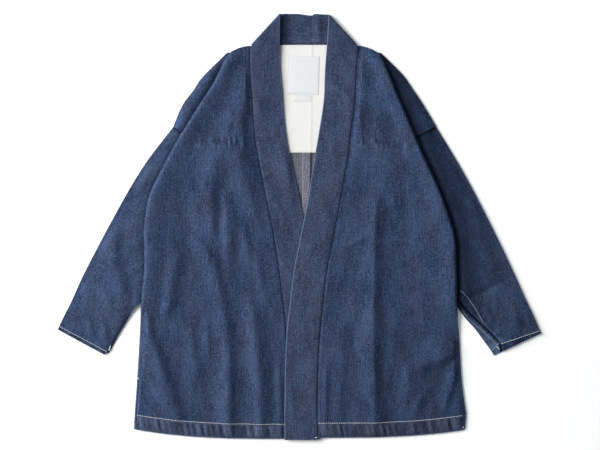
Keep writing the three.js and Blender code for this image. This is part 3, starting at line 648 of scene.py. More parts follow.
def pleat_points(side, t, edge, out, main_height, sign, rim_height, puff):
    """The pleat under the fold's edge, and the ply beyond it to the shoulder's outline."""
    out_run, drop = pleat_section(np.minimum(t, ARMPIT))
    flat = edge[:, None, :] + out[:, None, :] * out_run[..., None]
    fold = lifted(flat, main_height[:, None] + sign * drop)
    start = fold[:, -1:, :]
    at = np.minimum(t, SLEEVE_SEAM)
    rim = np.stack([through(SHOULDER[side]["x"], at), through(SHOULDER[side]["y"], at)], axis=-1)
    width = np.linalg.norm(rim - start[:, 0, :2], axis=-1)[:, None]
    f = (np.arange(1, SHOULDER_STEPS + 1) / SHOULDER_STEPS)[None, :]
    slope = 18
    share = rounded(width * (1 - f) / slope) / rounded(width / slope)
    plan = start[..., :2] * (1 - f[..., None]) + rim[:, None, :] * f[..., None]
    rise = rim_height + (start[..., 2] - rim_height) * share
    ply = lifted(plan, rise + shoulder_swell(t, f, width, plan, puff))
    return np.concatenate([fold, ply], axis=1)


def panel_keep(t, main_cells, columns):
    low = t[1:, None]
    column = np.arange(columns - 1)[None, :]
    tucked = main_cells + TURN_STEPS + TUCK_STEPS
    below = np.where(low <= ARMPIT + 1e-6, tucked, main_cells)
    return column < np.where(low <= SLEEVE_SEAM + 1e-6, columns, below)


def body_weave(grid, main_cells, sign):
    """The body's warp hangs straight down, and the pleat goes on from the panel."""
    across = grid[..., 0].copy()
    steps = np.linalg.norm(np.diff(grid[:, main_cells:], axis=1), axis=2)
    beyond = sign * np.cumsum(steps, axis=1)
    across[:, main_cells + 1:] = across[:, main_cells:main_cells + 1] + beyond
    return np.stack([across, -grid[..., 1]], axis=-1)


# ---- the fronts ----

def places_along(side, cell):
    """Places from the shoulder to the hem, about a cell apart."""
    edge = place_in(BODY[side], "edge", np.arange(0, HEM_EDGE + 1))
    places = [0.0]
    for row, length in enumerate(np.linalg.norm(np.diff(edge, axis=0), axis=1)):
        count = max(1, int(round(length / cell)))
        places += [row + k / count for k in range(1, count + 1)]
    return np.array(places)


def hem_bow(side, t, share):
    weight = smooth((t - 12) / (HEM_TOP - 12))
    rise = through(BODY[side]["edgeY"], t) - through(BODY[side]["seamY"], t)
    return (weight * rise)[:, None] * (share**3 - share)


def shoulder_bow(t, share):
    bulge = 3
    return 4 * bulge * share * (1 - share) * smooth(1 - t / 0.5)[:, None]


def climb(side, y):
    """The left front climbs on to the right one where their collars cross."""
    start = 522
    length = 95
    return BAND_STEP * smooth((start - y) / length) if side == "left" else np.zeros_like(y)


def hem_ripple(along, above):
    """Roping between the hem's stitch line and its edge, slanting a little."""
    within = smooth((above + 2) / 6) * smooth((HEM_DEPTH - 1 - above) / 6)
    slant = along + above * 0.2
    wave = row_noise(slant, 5.4, 21) + 0.6 * soft_noise(slant, above, 3.4, 40, 22)
    return wave * within


def pucker_line(side, x, y):
    """The lining's edge is stitched through: short puckers in an uneven row."""
    level, start, end = PUCKER_ROW[side]
    below = y - level - 2.5 * row_noise(x, 11, 48)
    within = smooth((x - start) / 14) * smooth((end - x) / 14)
    groove = -0.3 * bell(below, 2.0)
    puckers = bell(below + 3, 10) * soft_noise(x, y, 4.8, 16, 41)
    return (groove + 1.5 * puckers) * within


def neck_lift(name, y):
    """How far the collar's free or sewn edge has gone up towards its fold at the neck."""
    return NECK_LIFT[name] * smooth((y - NECK_LIFT_FROM[name]) / NECK_LIFT_RUN[name])


def neck_rise(side, y, from_seam):
    """The panel's edge goes up with the collar's towards the neck."""
    return neck_lift("sewn", y) * NECK_FOLLOWS[side] * (1 - smooth(from_seam / 55))


def seam_puckers(side, y, from_seam):
    """The ditch beside the collar, and short gathers where the panel is eased on to it."""
    gathers = row_noise(y, 5.5, 43 + SIGN[side])
    return 0.5 * gathers * bell(from_seam - 5, 5) - DITCH[side] * bell(from_seam, 2.0)


def side_vent(side, y, from_edge):
    """The front's edge stops short beside the slit above the hem, and the back shows."""
    if side == "left":
        return y * 0
    low, high = SIDE_VENT
    within = smooth((high - y) / 2) * smooth((y - low) / 3)
    return within * (1 - smooth((from_edge - VENT_STRIP) / 1.2))


def front_level(side, t, y, from_seam):
    """The panel's height without its folds."""
    level = EDGE_PLY + (FRONT_PLY - EDGE_PLY) * rounded(t * 55 / 20)[:, None]
    level = level + climb(side, y) * (1 - smooth(from_seam / 70))
    return level + neck_rise(side, y, from_seam) * smooth(t / 0.5)[:, None]


def front_relief(side, x, y, above):
    """The panel's folds and its unevenness, calmer on the hem."""
    body = FRONT_GAIN[side] * folds_at(FRONT_FOLDS[side], x, y)
    body += uneven("front", x, y) + pucker_line(side, x, y)
    return body * (1 - 0.4 * smooth((HEM_DEPTH + 6 - above) / 12))


def to_fold(t, panel, from_seam, from_edge):
    """The panel, brought to the height of its fold and, below the armpit, of the side seam."""
    pleated = t <= ARMPIT
    fold_height = np.where(pleated, stack_at(t), between(SIDE_RIM, "height", t))[:, None]
    tuck = pleat_at(np.minimum(t, ARMPIT))[1][:, None]
    flat = tuck + 2 * PLY + LAYER + 4
    reach = np.minimum(85, from_seam + from_edge - 5)
    share = 1 - smooth((from_edge - flat) / (reach - flat))
    over_fold = panel + (fold_height - panel) * share
    to_side = fold_height + (panel - fold_height) * rounded(from_edge / 14)
    return np.where(pleated[:, None] | (fold_height > panel), over_fold, to_side)


def roll(side, t, from_edge):
    """How far the fold over the sleeve bulges up."""
    run = ROLL_RUN[side]
    swell = 1 - (1 - np.clip(from_edge / run, 0, 1)) ** 2
    swell *= 1 - smooth((from_edge - run) / ROLL_FALL)
    pleated = smooth((ARMPIT + 0.6 - t) / 0.8) * smooth(t / 0.7)
    return ROLL_RISE[side] * swell * pleated[:, None]


def front_height(side, at):
    t, from_seam, from_edge, above = at.t, at.from_seam, at.from_edge, at.above
    x = at.spot[..., 0]
    y = at.spot[..., 1]
    window = smooth((from_seam - 1) / 10) * smooth((from_edge - 2) / 14)
    raised = front_relief(side, x, y, above) * window * rounded(t / 0.6)[:, None]
    made = to_fold(t, front_level(side, t, y, from_seam) + raised, from_seam, from_edge)
    made += roll(side, t, from_edge) + seam_puckers(side, y, from_seam)
    made -= 1.2 * side_vent(side, y, from_edge) + 0.5 * bell(above - HEM_DEPTH, 1.8)
    made += 1.3 * hem_ripple(x, above) * smooth(from_edge / 6)
    lowered = (made - EDGE_PLY - 0.1) * (1 - rounded(above / 10))
    return made - np.maximum(lowered, 0) * (1 - 0.7 * bell(from_seam, 12))


def front_places(side):
    """Where the front's main ply lies, seen from above, and how far from its edges."""
    t = places_along(side, CELL)
    seam = place_in(BODY[side], "seam", t)
    seam[:, 0] += SIGN[side] * GAP / 2
    edge, out = edge_frame(side, t)
    end = edge - out * fold_inset(t)[:, None]
    share = np.concatenate([[0, 0.004, 0.01], np.linspace(0.02, 0.95, 90),
                            np.linspace(0.956, 0.998, 13), [1]])[None, :]
    spot = spread(seam, end, share[..., None])
    spot[..., 1] += hem_bow(side, t, share) + shoulder_bow(t, share)
    from_edge = apart(spot, end)
    at = SimpleNamespace(t=t, edge=edge, out=out, spot=spot, from_edge=from_edge)
    at.from_seam = apart(spot, seam)
    at.above = spot[..., 1] - spot[-1:, :, 1]
    corner = np.clip(1 - from_edge / HEM_CORNER[side], 0, 1)
    cut = HEM_CORNER[side] * (1 - np.sqrt(1 - corner**2)) * (1 - smooth(at.above / 30))
    spot[..., 1] += cut
    return at


def front_tone(side, at, height):
    """Pale along the edges, rubbed and with a painted highlight, and on the hem's ropes; painted
    shade in the seam beside the collar.
    """
    from_seam, from_edge, above = at.from_seam, at.from_edge, at.above
    x = at.spot[..., 0]
    y = at.spot[..., 1]
    by_side = FRONT_MARKS_AND_PAINTED_LIGHT[side]
    tone = wear_and_trough_shade(height) + 0.8 * bell(above, 1.7) + 0.4 * hem_ripple(x, above)
    tone += (0.1 - by_side.hem) * smooth((HEM_DEPTH - above) / 3)
    # by_side.seam is painted shade in the ditch beside the collar, and by_side.beside a painted
    # highlight just outside it
    tone += 0.3 * bell(above - HEM_DEPTH, 1.8) - by_side.seam * bell(from_seam, 1.8)
    tone += by_side.beside * bell(from_seam - 3, 1.3) * smooth((430 - y) / 100)
    tone -= by_side.low * smooth((260 - y) / 160) * smooth((from_seam - 20) / 40)
    # the puckers are rubbed pale on top and get painted shade in their groove
    tone += 0.3 * pucker_line(side, x, y)
    # pale along the edge, rubbed and with a painted highlight, strongest at the side seam
    at_side = smooth((at.t - ARMPIT) / 0.5)[:, None]
    tone += by_side.edge * bell(from_edge, 2.2) * (0.12 + 0.55 * at_side)
    # beside the slit: a painted highlight on the step of the front's edge and a painted shadow in
    # the gap under it
    vent = side_vent(side, y, from_edge)
    deep = 0.9 * bell(from_edge - VENT_STRIP + 1, 1.2)
    return tone + 3.2 * vent * (1 - vent) - deep * vent


def front(side, materials):
    at = front_places(side)
    height = front_height(side, at)
    main = lifted(at.spot, height)
    main_cells = main.shape[1] - 1
    fold_height = np.where(at.t <= ARMPIT, stack_at(at.t), height[:, -1])
    pleat = pleat_points(side, at.t, at.edge, at.out, fold_height, -1, EDGE_PLY,
                         SHOULDER_PUFF[side])
    grid = np.concatenate([main, pleat], axis=1)
    tone = np.zeros(grid.shape[:2])
    tone[:, :main_cells + 1] = front_tone(side, at, height)
    beyond = main_cells + TURN_STEPS
    ahead = grid[:, beyond:, :2] - at.edge[:, None, :]
    from_fold = np.sum(ahead * at.out[:, None, :], axis=-1)
    # painted shadow of the fold on the ply that comes out from under it, and painted shade on
    # beyond it
    tone[:, beyond:] = -PAINTED_FOLD_SHADOW[side] * bell(from_fold, PAINTED_FOLD_SHADOW_WIDTH[side])
    tone[:, beyond:] -= PAINTED_SHADE_BEYOND_FOLD[side] * (1 - smooth(from_fold / 45))
    hem = np.zeros((grid.shape[0] - 1, grid.shape[1] - 1), bool)
    hem[:, :main_cells] = at.above[1:, 1:] < HEM_DEPTH
    part = shell(grid, True, keep=panel_keep(at.t, main_cells, grid.shape[1]), tone=tone,
                 trim=hem, weave=body_weave(grid, main_cells, SIGN[side]))
    return cloth_object(f"front_{side}_cloth", part, materials)


# ---- the backs ----

def centre_line(y):
    run = (y - CENTRE_BACK["lowY"]) / (CENTRE_BACK["topY"] - CENTRE_BACK["lowY"])
    straight = CENTRE_BACK["lowX"] + (CENTRE_BACK["topX"] - CENTRE_BACK["lowX"]) * run
    return straight + 2.3 * bell(y - 520, 170)


def back_grid(side):
    t = places_along(side, CELL * 1.5)
    seam = place_in(BODY[side], "seam", t)
    centre = np.stack([centre_line(seam[:, 1]) + SIGN[side] * GAP / 2, seam[:, 1]], axis=-1)
    centre[0, 1] = CENTRE_BACK["topY"]
    edge, out = edge_frame(side, t)
    edge = edge - out * (BACK_INSET * smooth(11 - t))[:, None]
    end = edge - out * fold_inset(t)[:, None]
    near = np.linspace(0, 1, 26)[None, :, None]
    far = np.linspace(0, 1, 50)[None, 1:, None]
    to_edge = spread(seam, end, far)
    to_edge[..., 1] += hem_bow(side, t, far[..., 0]) + shoulder_bow(t, far[..., 0])
    spot = np.concatenate([spread(centre, seam, near), to_edge], axis=1)
    main = lifted(spot, np.full(spot.shape[:2], FLOOR_PLY))
    floor = np.full(len(t), FLOOR_PLY)
    pleat = pleat_points(side, t, edge, out, floor, 1, FLOOR_PLY, 0)
    return t, np.concatenate([main, pleat], axis=1), main.shape[1] - 1


def seam_allowance(material):
    """The centre-back seam's allowance, pressed to the wearer's right inside the back."""
    inner = 4.4
    y = np.linspace(546, 300, 90)[:, None]
    f = np.linspace(0, 1, 12)[None, :]
    x = inner + (centre_line(y) - 0.6 - inner) * f
    puckers = soft_noise(x, y, 5, 9, 44) * smooth((470 - y) / 60) * smooth(f * 4)
    z = PLY + GAP + 0.75 + 0.35 * puckers + uneven("allowance", x, y)
    grid = np.stack([x, np.broadcast_to(y, x.shape), z], axis=-1)
    tone = 0.8 * bell(f, 0.09) - 0.8 * bell(f - 1, 0.08) + y * 0
    part = shell(grid, True, thickness=0.9, tone=tone)
    made, _ = cloth_object("seam_allowance", part, [material, material])
    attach(made, "root")


def back(side, materials):
    t, grid, main_cells = back_grid(side)
    y = grid[..., 1]
    tone = 0.35 * bell(y - y[-1:], 2.0) - 0.22 * smooth((y - 420) / 120)
    tone -= 0.9 * bell(np.abs(grid[..., 0] - centre_line(y)), 2.2)
    part = shell(grid, False, keep=panel_keep(t, main_cells, grid.shape[1]), tone=tone,
                 weave=body_weave(grid, main_cells, SIGN[side]))
    return cloth_object(f"back_{side}_cloth", part, materials)


# ---- the sleeves ----

CUFF = 8  # the cuff's edge, in rows of SLEEVE
CUFF_PLACE = {"right": 7.58, "left": 7.22}  # its line of stitches
VENT_TOP = 4
VENT_TURNING = 30
UNDER_HIDDEN = FLOOR_PLY + 2 * LAYER
TOP_HIDDEN = FLOOR_PLY + 3 * LAYER


def outside_edge(side, spot):
    """How far outside the body's edge each point lies."""
    edge, out = edge_frame(side, np.arange(0, HEM_TOP + 0.01, 0.1))
    nearest = np.full(spot.shape[:-1], np.inf)
    signed = np.zeros(spot.shape[:-1])
    for point, way in zip(edge, out):
        apart = spot - point
        distance = np.linalg.norm(apart, axis=-1)
        signed = np.where(distance < nearest, apart @ way, signed)
        nearest = np.minimum(nearest, distance)
    return signed


def distance_to(line, spot):
    """How far each point is from the nearest point of a line of points."""
    nearest = np.full(spot.shape[:-1], np.inf)
    for point in line:
        nearest = np.minimum(nearest, np.linalg.norm(spot - point, axis=-1))
    return nearest


def armhole_seam(side):
    """The sleeve's first row: from the shoulder's outline to where it is hidden."""
    place = np.array([float(SLEEVE_SEAM)])
    edge, out = edge_frame(side, place)
    rim = np.array([SHOULDER[side]["x"][SLEEVE_SEAM], SHOULDER[side]["y"][SLEEVE_SEAM]])
    hidden = edge[0] - out[0] * (pleat_at(place)[1][0] + 3)
    along = unit(hidden - rim)
    aside = np.array([-along[1], along[0]]) * SIGN[side] * (GAP + 0.15)
    return rim + aside, hidden + aside


def sleeve_table(side):
    outer, inner = armhole_seam(side)
    rows = {name: values.copy() for name, values in SLEEVE[side].items()}
    for name, value in zip(SLEEVE_COLUMNS.split(), [*outer, *inner, *inner]):
        rows[name][0] = value
    return rows


def sleeve_top(side, t, loft, spot, end, top):
    """Height of the top ply."""
    x = spot[..., 0]
    y = spot[..., 1]
    from_outer = apart(spot, end)
    from_underarm = apart(spot, top)
    outside = outside_edge(side, spot)
    shape = smooth((outside - 1) / 16) * smooth(from_outer / 12)
    closed = (smooth((t - VENT_TOP) / 0.5) * smooth((7.5 - t) / 0.5))[:, None]
    puff = 2.2 * rounded(from_outer / 60) * rounded(from_underarm / 50)
    folds = SLEEVE_GAIN * folds_at(SLEEVE_FOLDS[side], x, y)
    folds += uneven("sleeve", x, y)
    calm = 1 - 0.6 * smooth((t - 7) / 0.6)[:, None]
    free = loft[:, None] + (puff + folds) * shape * calm
    rim = EDGE_PLY + (free - EDGE_PLY) * rounded(from_underarm / 6)
    level = free + (rim - free) * closed
    made = level + (TOP_HIDDEN - level) * (1 - smooth((outside + 2) / 34))
    leaning = smooth((outside - 2) / 12) * (1 - smooth((outside - 12) / 60))
    made += SLEEVE_SWELL[side] * leaning * smooth(from_outer / 20) * smooth(from_underarm / 8)
    from_stitches = (t - CUFF_PLACE[side])[:, None]
    made -= 0.3 * bell(from_stitches * 20, 1.3)
    in_hem = smooth(from_stitches / 0.08) * smooth((CUFF + 0.04 - t) / 0.08)[:, None]
    at_edge = 1.3 * smooth((t - 7.7) / 0.3)[:, None] * smooth(from_outer / 8)
    return made + 0.4 * row_noise(from_outer, 4.6, 53) * in_hem - at_edge


SLEEVE_STEPS = [22, 22, 26, 20, 22, 22, 22, 22]
LOW_COLUMNS = 64
ROUND_STEPS = 10
TOP_COLUMNS = 44
TOP_START = LOW_COLUMNS + ROUND_STEPS - 1


def sleeve_shape(side):
    """The sleeve from its underarm out over the floor, round the outer fold and back."""
    rows = sleeve_table(side)
    steps = [np.arange(n) / n + k for k, n in enumerate(SLEEVE_STEPS)]
    t = np.concatenate([*steps, [float(CUFF)]])
    outer, top, under = (place_in(rows, name, t) for name in ("outer", "top", "under"))
    loft = through(rows["loft"], t)
    out = unit(outer - top)
    radius = (loft[:, None] - FLOOR_PLY) / 2
    end = outer - out * (radius + PLY / 2)
    low = spread(under, end, np.linspace(0, 1, LOW_COLUMNS)[None, :, None])
    on_floor = smooth((outside_edge(side, low) + 2) / 20)
    low_height = UNDER_HIDDEN + (FLOOR_PLY - UNDER_HIDDEN) * on_floor
    angle = (np.pi * np.arange(1, ROUND_STEPS) / ROUND_STEPS)[None, :]
    turn = end[:, None, :] + out[:, None, :] * (radius * np.sin(angle))[..., None]
    turn_height = FLOOR_PLY + radius * (1 - np.cos(angle))
    over = spread(end, top, np.linspace(0, 1, TOP_COLUMNS)[None, :, None])
    over_height = sleeve_top(side, t, loft, over, end, top)
    spot = np.concatenate([low, turn, over], axis=1)
    height = np.concatenate([low_height, turn_height, over_height], axis=1)
    return SimpleNamespace(t=t, top=top, under=under, end=end, spot=spot, height=height)


def vent_tone(side, at):
    """The open slit above the cuff gets a painted shadow, and both its edges are pale and
    puckered.
    """
    gap = np.linalg.norm(at.top - at.under, axis=-1)
    vent = (smooth(2 * (at.t - VENT_TOP)) * smooth(gap / 6))[:, None]
    from_slit = distance_to(at.top[at.t >= VENT_TOP], at.spot)
    puckers = row_noise(run_along(at.under), 3.4, 54)[:, None]
    # on the strip of the ply below, most of the painted shade over the sleeve is taken back; the
    # slit itself gets a painted shadow
    strip = smooth((from_slit - 3) / 3) * (0.8 * PAINTED_SHADE_BEYOND_FOLD[side] + 0.35 * puckers)
    low = vent * (strip - 2.4 * bell(from_slit, 3.2))
    top = vent * (0.4 * bell(from_slit - 1, 1.5) + 0.35 * puckers * bell(from_slit - 6, 5))
    tone = np.zeros(at.spot.shape[:2])
    tone[:, :LOW_COLUMNS] = low[:, :LOW_COLUMNS]
    tone[:, TOP_START:] = top[:, TOP_START:]
    return tone


def sleeve_tone(side, at):
    """Painted shade in the armhole's seam and under the body's fold, and pale on the cuff's edge.
    """
    t = at.t
    tone = vent_tone(side, at)
    tone[:, TOP_START:] += wear_and_trough_shade(at.height[:, TOP_START:])
    tone += (0.7 * bell((CUFF - t) * 20, 1.4) - 1.1 * bell(t * 30, 1.3))[:, None]
    outside = outside_edge(side, at.spot)
    # painted shadow of the body's fold just outside it, and painted shade on over the sleeve
    tone -= PAINTED_FOLD_SHADOW[side] * bell(outside - 1, PAINTED_FOLD_SHADOW_WIDTH[side])
    tone -= PAINTED_SHADE_BEYOND_FOLD[side] * (1 - 0.8 * smooth(outside / 75))
    tone += 0.35 * bell(apart(at.spot, at.under), 1.6)
    ropes = row_noise(apart(at.spot, at.end), 4.6, 53)
    in_hem = smooth((t - CUFF_PLACE[side] - 0.04) / 0.06) * smooth((CUFF - 0.04 - t) / 0.06)
    return tone + (0.5 * ropes - 0.22) * in_hem[:, None]


def sleeve(side, materials):
    at = sleeve_shape(side)
    grid = lifted(at.spot, at.height)
    by_vent = apart(at.spot, at.under)[:-1, :-1] < VENT_TURNING
    turned = by_vent | (at.t[:-1, None] > CUFF_PLACE[side])
    part = shell(grid, False, tone=sleeve_tone(side, at), turned=turned)
    return cloth_object(f"sleeve_{side}_cloth", part, materials)


# ---- the collar ----

def neck_axes(side):
    """The ends of the line that the collar folds about at the neck, and the way out of it."""
    rows = BODY[side]
    free = np.array([rows["freeX"][0], rows["freeY"][0]])
    sewn = np.array([rows["seamX"][0], rows["seamY"][0] + GAP])
    along = unit(free - sewn)
    out = np.array([along[1], -along[0]]) * SIGN[side]
    inwards = out * (NECK_FOLD + BAND / 2)
    return {"free": free - inwards, "sewn": sewn - inwards + along * (BAND + 0.5)}, out


def behind_neck(side, axes):
    """The collar's edges from the centre back to its fold."""
    f = (np.arange(NECK_ROWS) / NECK_ROWS)[:, None]
    centre = CENTRE_BACK["topX"] + SIGN[side] * GAP / 2
    free = np.array([centre, NECK_TOP]) * (1 - f) + axes["free"] * f
    sewn = np.array([centre, CENTRE_BACK["topY"] + GAP]) * (1 - f) + axes["sewn"] * f
    arch, run = NECK_ARCH[side]
    free[:, 1] += arch * smooth(f[:, 0] / run)
    height = np.full(NECK_ROWS, NECK_BAND + NECK_RAISED)
    return {"free": lifted(free, height), "sewn": lifted(sewn, height)}


def round_fold(side, axes, out):
    """The collar's edges round its fold at the neck."""
    angle = np.pi * np.linspace(0, 1, 17)
    bulge = out * (NECK_FOLD * np.sin(angle))[:, None]
    raised = NECK_RAISED * (1 + np.cos(angle)) / 2
    edges = {}
    for name, lift in NECK_LIFT.items():
        radius = (UNDER_BAND + lift - NECK_BAND) / 2
        height = NECK_BAND + raised + radius * (1 - np.cos(angle))
        edges[name] = lifted(axes[name] + bulge, height)
    edges["free"][:, 1] += NECK_ARCH[side][0] * (1 - smooth(2 * angle / np.pi))
    return edges


def down_front(side, axes):
    """The collar's edges from its fold down to the hem."""
    rows = BODY[side]
    t = places_along(side, CELL)[1:]
    free = place_in(rows, "free", t)
    sewn = place_in(rows, "seam", t)
    sewn[:, 0] -= SIGN[side] * GAP / 2
    sewn[:, 1] += (free[-1, 1] - sewn[-1, 1]) * smooth(t - HEM_LINE)
    f = t[:, None]
    straight = axes["free"] * (1 - f) + place_in(rows, "free", np.array([1.0])) * f
    free = np.where(f < 1, straight * (1 - smooth(f)) + free * smooth(f), free)
    edges = {"free": free, "sewn": sewn}
    return {name: lifted(edge, UNDER_BAND + neck_lift(name, edge[:, 1]))
            for name, edge in edges.items()}


def collar_edges(side):
    """The collar's edges, and 1 for each of their points that lies on the front."""
    axes, out = neck_axes(side)
    parts = [behind_neck(side, axes), round_fold(side, axes, out), down_front(side, axes)]
    free, sewn = (np.concatenate([part[name] for part in parts]) for name in ("free", "sewn"))
    is_front = np.repeat([0.0, 0.0, 1.0], [len(part["free"]) for part in parts])
    return free, sewn, is_front[:, None]


def neck_shape(x, y):
    """The neck part: a row of stitches along it, and puckers at the centre-back seam."""
    stitched = -0.5 * bell(y - 768, 1.6)
    from_seam = x - CENTRE_BACK["topX"]
    puckers = 0.5 * row_noise(y, 6, 64) * bell(from_seam, 8)
    ridge = 2.3 * bell(from_seam - 12, 7) - 0.6 * bell(from_seam + 1, 1.8)
    return stitched + puckers + ridge + uneven("neck", x, y)


def band_shape(side, x, y, from_free, from_sewn):
    """The folds of the collar on the front, and its small gathers along both edges."""
    shape = COLLAR_GAIN * folds_at(COLLAR_FOLDS[side], x, y) + uneven("band", x, y)
    shape += 0.3 * row_noise(y, 6.5, 62 + SIGN[side]) * bell(from_sewn - 7, 6)
    shape += 0.14 * row_noise(y, 8, 66) * bell(from_free, 5)
    return shape + 0.9 * smooth((from_free - 30) / 24) * smooth((y - 20) / 30)


def collar(side, materials):
    free, sewn, is_front = collar_edges(side)
    ends = np.array([0, 0.5, 1.1, 1.8, 3.0]) / BAND_WIDTH
    share = np.concatenate([ends, np.linspace(0.07, 0.93, 21), 1 - ends[::-1]])[None, :]
    grid = spread(free, sewn, share[..., None])
    x, y, height = np.moveaxis(grid, -1, 0)
    from_free = share * BAND_WIDTH
    from_sewn = (1 - share) * BAND_WIDTH
    row = np.arange(len(grid))[:, None]
    in_neck = row < NECK_ROWS - 3
    shape = band_shape(side, x, y, from_free, from_sewn) * is_front * smooth((752 - y) / 40)
    shape += np.where(in_neck, neck_shape(x, y), 0)
    height += climb(side, y) * is_front + shape * smooth(from_sewn / 4) * smooth(from_free / 5)
    height -= 1.2 * (1 - rounded(y / 14)) * is_front
    edge = np.clip(np.minimum(from_free, from_sewn) / 1.3, 0, 1)
    thickness = BAND * np.sqrt(np.maximum(1 - (1 - edge) ** 2, 0.12))
    # dark along the sewn edge: painted shadow in its seam
    tone = wear_and_trough_shade(height) + 0.8 * bell(from_free, 1.5) - 0.3 * bell(from_sewn, 1.4)
    tone += FOLD_EDGE_WEAR_AND_HIGHLIGHT[side] * bell(row - NECK_ROWS - 9, 3)
    # painted shadow of the right collar's fold on the neck part
    tone -= np.where(in_neck, 0.7 * bell(x - NECK_PAINTED_SHADOW_AT, 11), 0)
    tone += 0.5 * bell(y - 1.5, 1.6) * is_front
    part = shell(grid, False, thickness=thickness, tone=tone)
    return cloth_object(f"collar_{side}_cloth", part, materials)


# ---- the lining and the labels ----

YOKE = {"centreX": 20, "topY": 750, "lowY": 546, "topHalf": 118, "lowHalf": 158,
        "level": 55, "fall": 18}


def yoke_lining(material):
    f = np.linspace(0, 1, 70)[:, None]
    share = np.linspace(-1, 1, 100)[None, :]
    x = share * (YOKE["topHalf"] + (YOKE["lowHalf"] - YOKE["topHalf"]) * f)
    slope = smooth((np.abs(x) - YOKE["level"]) / (YOKE["topHalf"] - YOKE["level"]))
    top = YOKE["topY"] - YOKE["fall"] * slope
    y = top + (YOKE["lowY"] - top) * f
    z = LINING_HEIGHT + uneven("lining", x, y)
    seam = 2.6 - 2.3 * f
    crease = 0.3 * bell(x - seam, 1.6)
    grid = np.stack([YOKE["centreX"] + x, y, z + crease], axis=-1)
    tone = -0.5 * bell(y - YOKE["lowY"], 1.5) - 0.4 * bell(x - seam - 1, 1.0)
    # painted shade on the lining beside the collar's free edge
    free = BODY["right"]
    beside_collar = YOKE["centreX"] + x - np.interp(-y, -free["freeY"], free["freeX"])
    tone -= 0.9 * bell(beside_collar, 9) * smooth((y - 600) / 60)
    part = shell(grid, True, thickness=LINING, tone=tone)
    return cloth_object("yoke_lining_cloth", part, [material, material])


def label(name, place, size, tilt, material):
    columns = int(size[0] / 1.2)
    rows = int(size[1] / 1.2)
    u = np.linspace(-0.5, 0.5, columns)[None, :] * size[0]
    v = np.linspace(0.5, -0.5, rows)[:, None] * size[1]
    x = place[0] + u * math.cos(tilt) - v * math.sin(tilt)
    y = place[1] + u * math.sin(tilt) + v * math.cos(tilt)
    edge = np.minimum(size[0] / 2 - np.abs(u), size[1] / 2 - np.abs(v))
    crown = 0.12 * smooth(edge / 5) + uneven("label", x, y)
    grid = np.stack([x, y, LABEL_MIDDLE + crown * smooth(edge / 3)], axis=-1)
    tone = -0.35 * bell(edge - 0.6, 0.9)
    part = shell(grid, True, thickness=LABEL, tone=tone)
    return cloth_object(name, part, [material, material])[0]


# ---- materials ----

def node(tree, kind, **settings):
    made = tree.nodes.new(kind)
    for key, value in settings.items():
        setattr(made, key, value)
    return made


def attribute(tree, name, output):
    return node(tree, "ShaderNodeAttribute", attribute_name=name).outputs[output]


def weave_coordinates(tree, scale, turn=0.0):
    mapping = node(tree, "ShaderNodeMapping")
    mapping.inputs["Scale"].default_value = scale
    mapping.inputs["Rotation"].default_value = (0, 0, turn)
    tree.links.new(attribute(tree, "weave", "Vector"), mapping.inputs["Vector"])
    return mapping.outputs["Vector"]


def noise_value(tree, scale, detail=2.0, rough=0.5):
    """Noise on the cloth: scale is the number of bumps in a metre across and along it."""
    texture = node(tree, "ShaderNodeTexNoise")
    texture.inputs["Scale"].default_value = 1.0
    texture.inputs["Detail"].default_value = detail
    texture.inputs["Roughness"].default_value = rough
    place = weave_coordinates(tree, (scale[0], scale[1], 1))
    tree.links.new(place, texture.inputs["Vector"])
    return texture.outputs["Fac"]


def ramp(tree, value, low, high, out_low=0.0, out_high=1.0):
    made = node(tree, "ShaderNodeMapRange")
    limits = {"From Min": low, "From Max": high, "To Min": out_low, "To Max": out_high}
    for name, limit in limits.items():
        made.inputs[name].default_value = limit
    tree.links.new(value, made.inputs["Value"])
    return made.outputs["Result"]


def connect(tree, socket, value):
    """Puts a colour, a number or another node's output into a socket."""
    if isinstance(value, tuple):
        socket.default_value = (*value, 1)
    elif isinstance(value, (int, float)):
        socket.default_value = value
    else:
        tree.links.new(value, socket)


def darker(colour, share):
    return tuple(value * share for value in colour)


def mixed(tree, factor, a, b, blend="MIX"):
    made = node(tree, "ShaderNodeMix", data_type="RGBA", blend_type=blend)
    connect(tree, made.inputs["Factor"], factor)
    colours = [socket for socket in made.inputs if socket.type == "RGBA"]
    connect(tree, colours[0], a)
    connect(tree, colours[1], b)
    return [socket for socket in made.outputs if socket.type == "RGBA"][0]


def calculated(tree, operation, a, b):
    made = node(tree, "ShaderNodeMath", operation=operation)
    connect(tree, made.inputs[0], a)
    connect(tree, made.inputs[1], b)
    return made.outputs["Value"]


def weighted(tree, pairs):
    """The sum of some values, each times its weight."""
    total = None
    for value, weight in pairs:
        part = calculated(tree, "MULTIPLY", value, weight)
        total = part if total is None else calculated(tree, "ADD", total, part)
    return total


def twill(tree):
    """The slanting ribs of the twill, about a millimetre apart."""
    wave = node(tree, "ShaderNodeTexWave", wave_type="BANDS", bands_direction="X")
    wave.inputs["Scale"].default_value = 1.0
    wave.inputs["Distortion"].default_value = 1.6
    wave.inputs["Detail"].default_value = 2.0
    wave.inputs["Detail Scale"].default_value = 0.35
    place = weave_coordinates(tree, (320, 320, 1), math.radians(62))
    tree.links.new(place, wave.inputs["Vector"])
    return wave.outputs["Fac"]


def cloth_shader(name, roughness, specular):
    material = bpy.data.materials.new(name)
    material.use_nodes = True
    shader = material.node_tree.nodes["Principled BSDF"]
    shader.inputs["Roughness"].default_value = roughness
    shader.inputs["Specular IOR Level"].default_value = specular
    return material, material.node_tree, shader


def bumped(tree, shader, height, strength, distance):
    bump = node(tree, "ShaderNodeBump")
    bump.inputs["Strength"].default_value = strength
    bump.inputs["Distance"].default_value = distance
    tree.links.new(height, bump.inputs["Height"])
    tree.links.new(bump.outputs["Normal"], shader.inputs["Normal"])


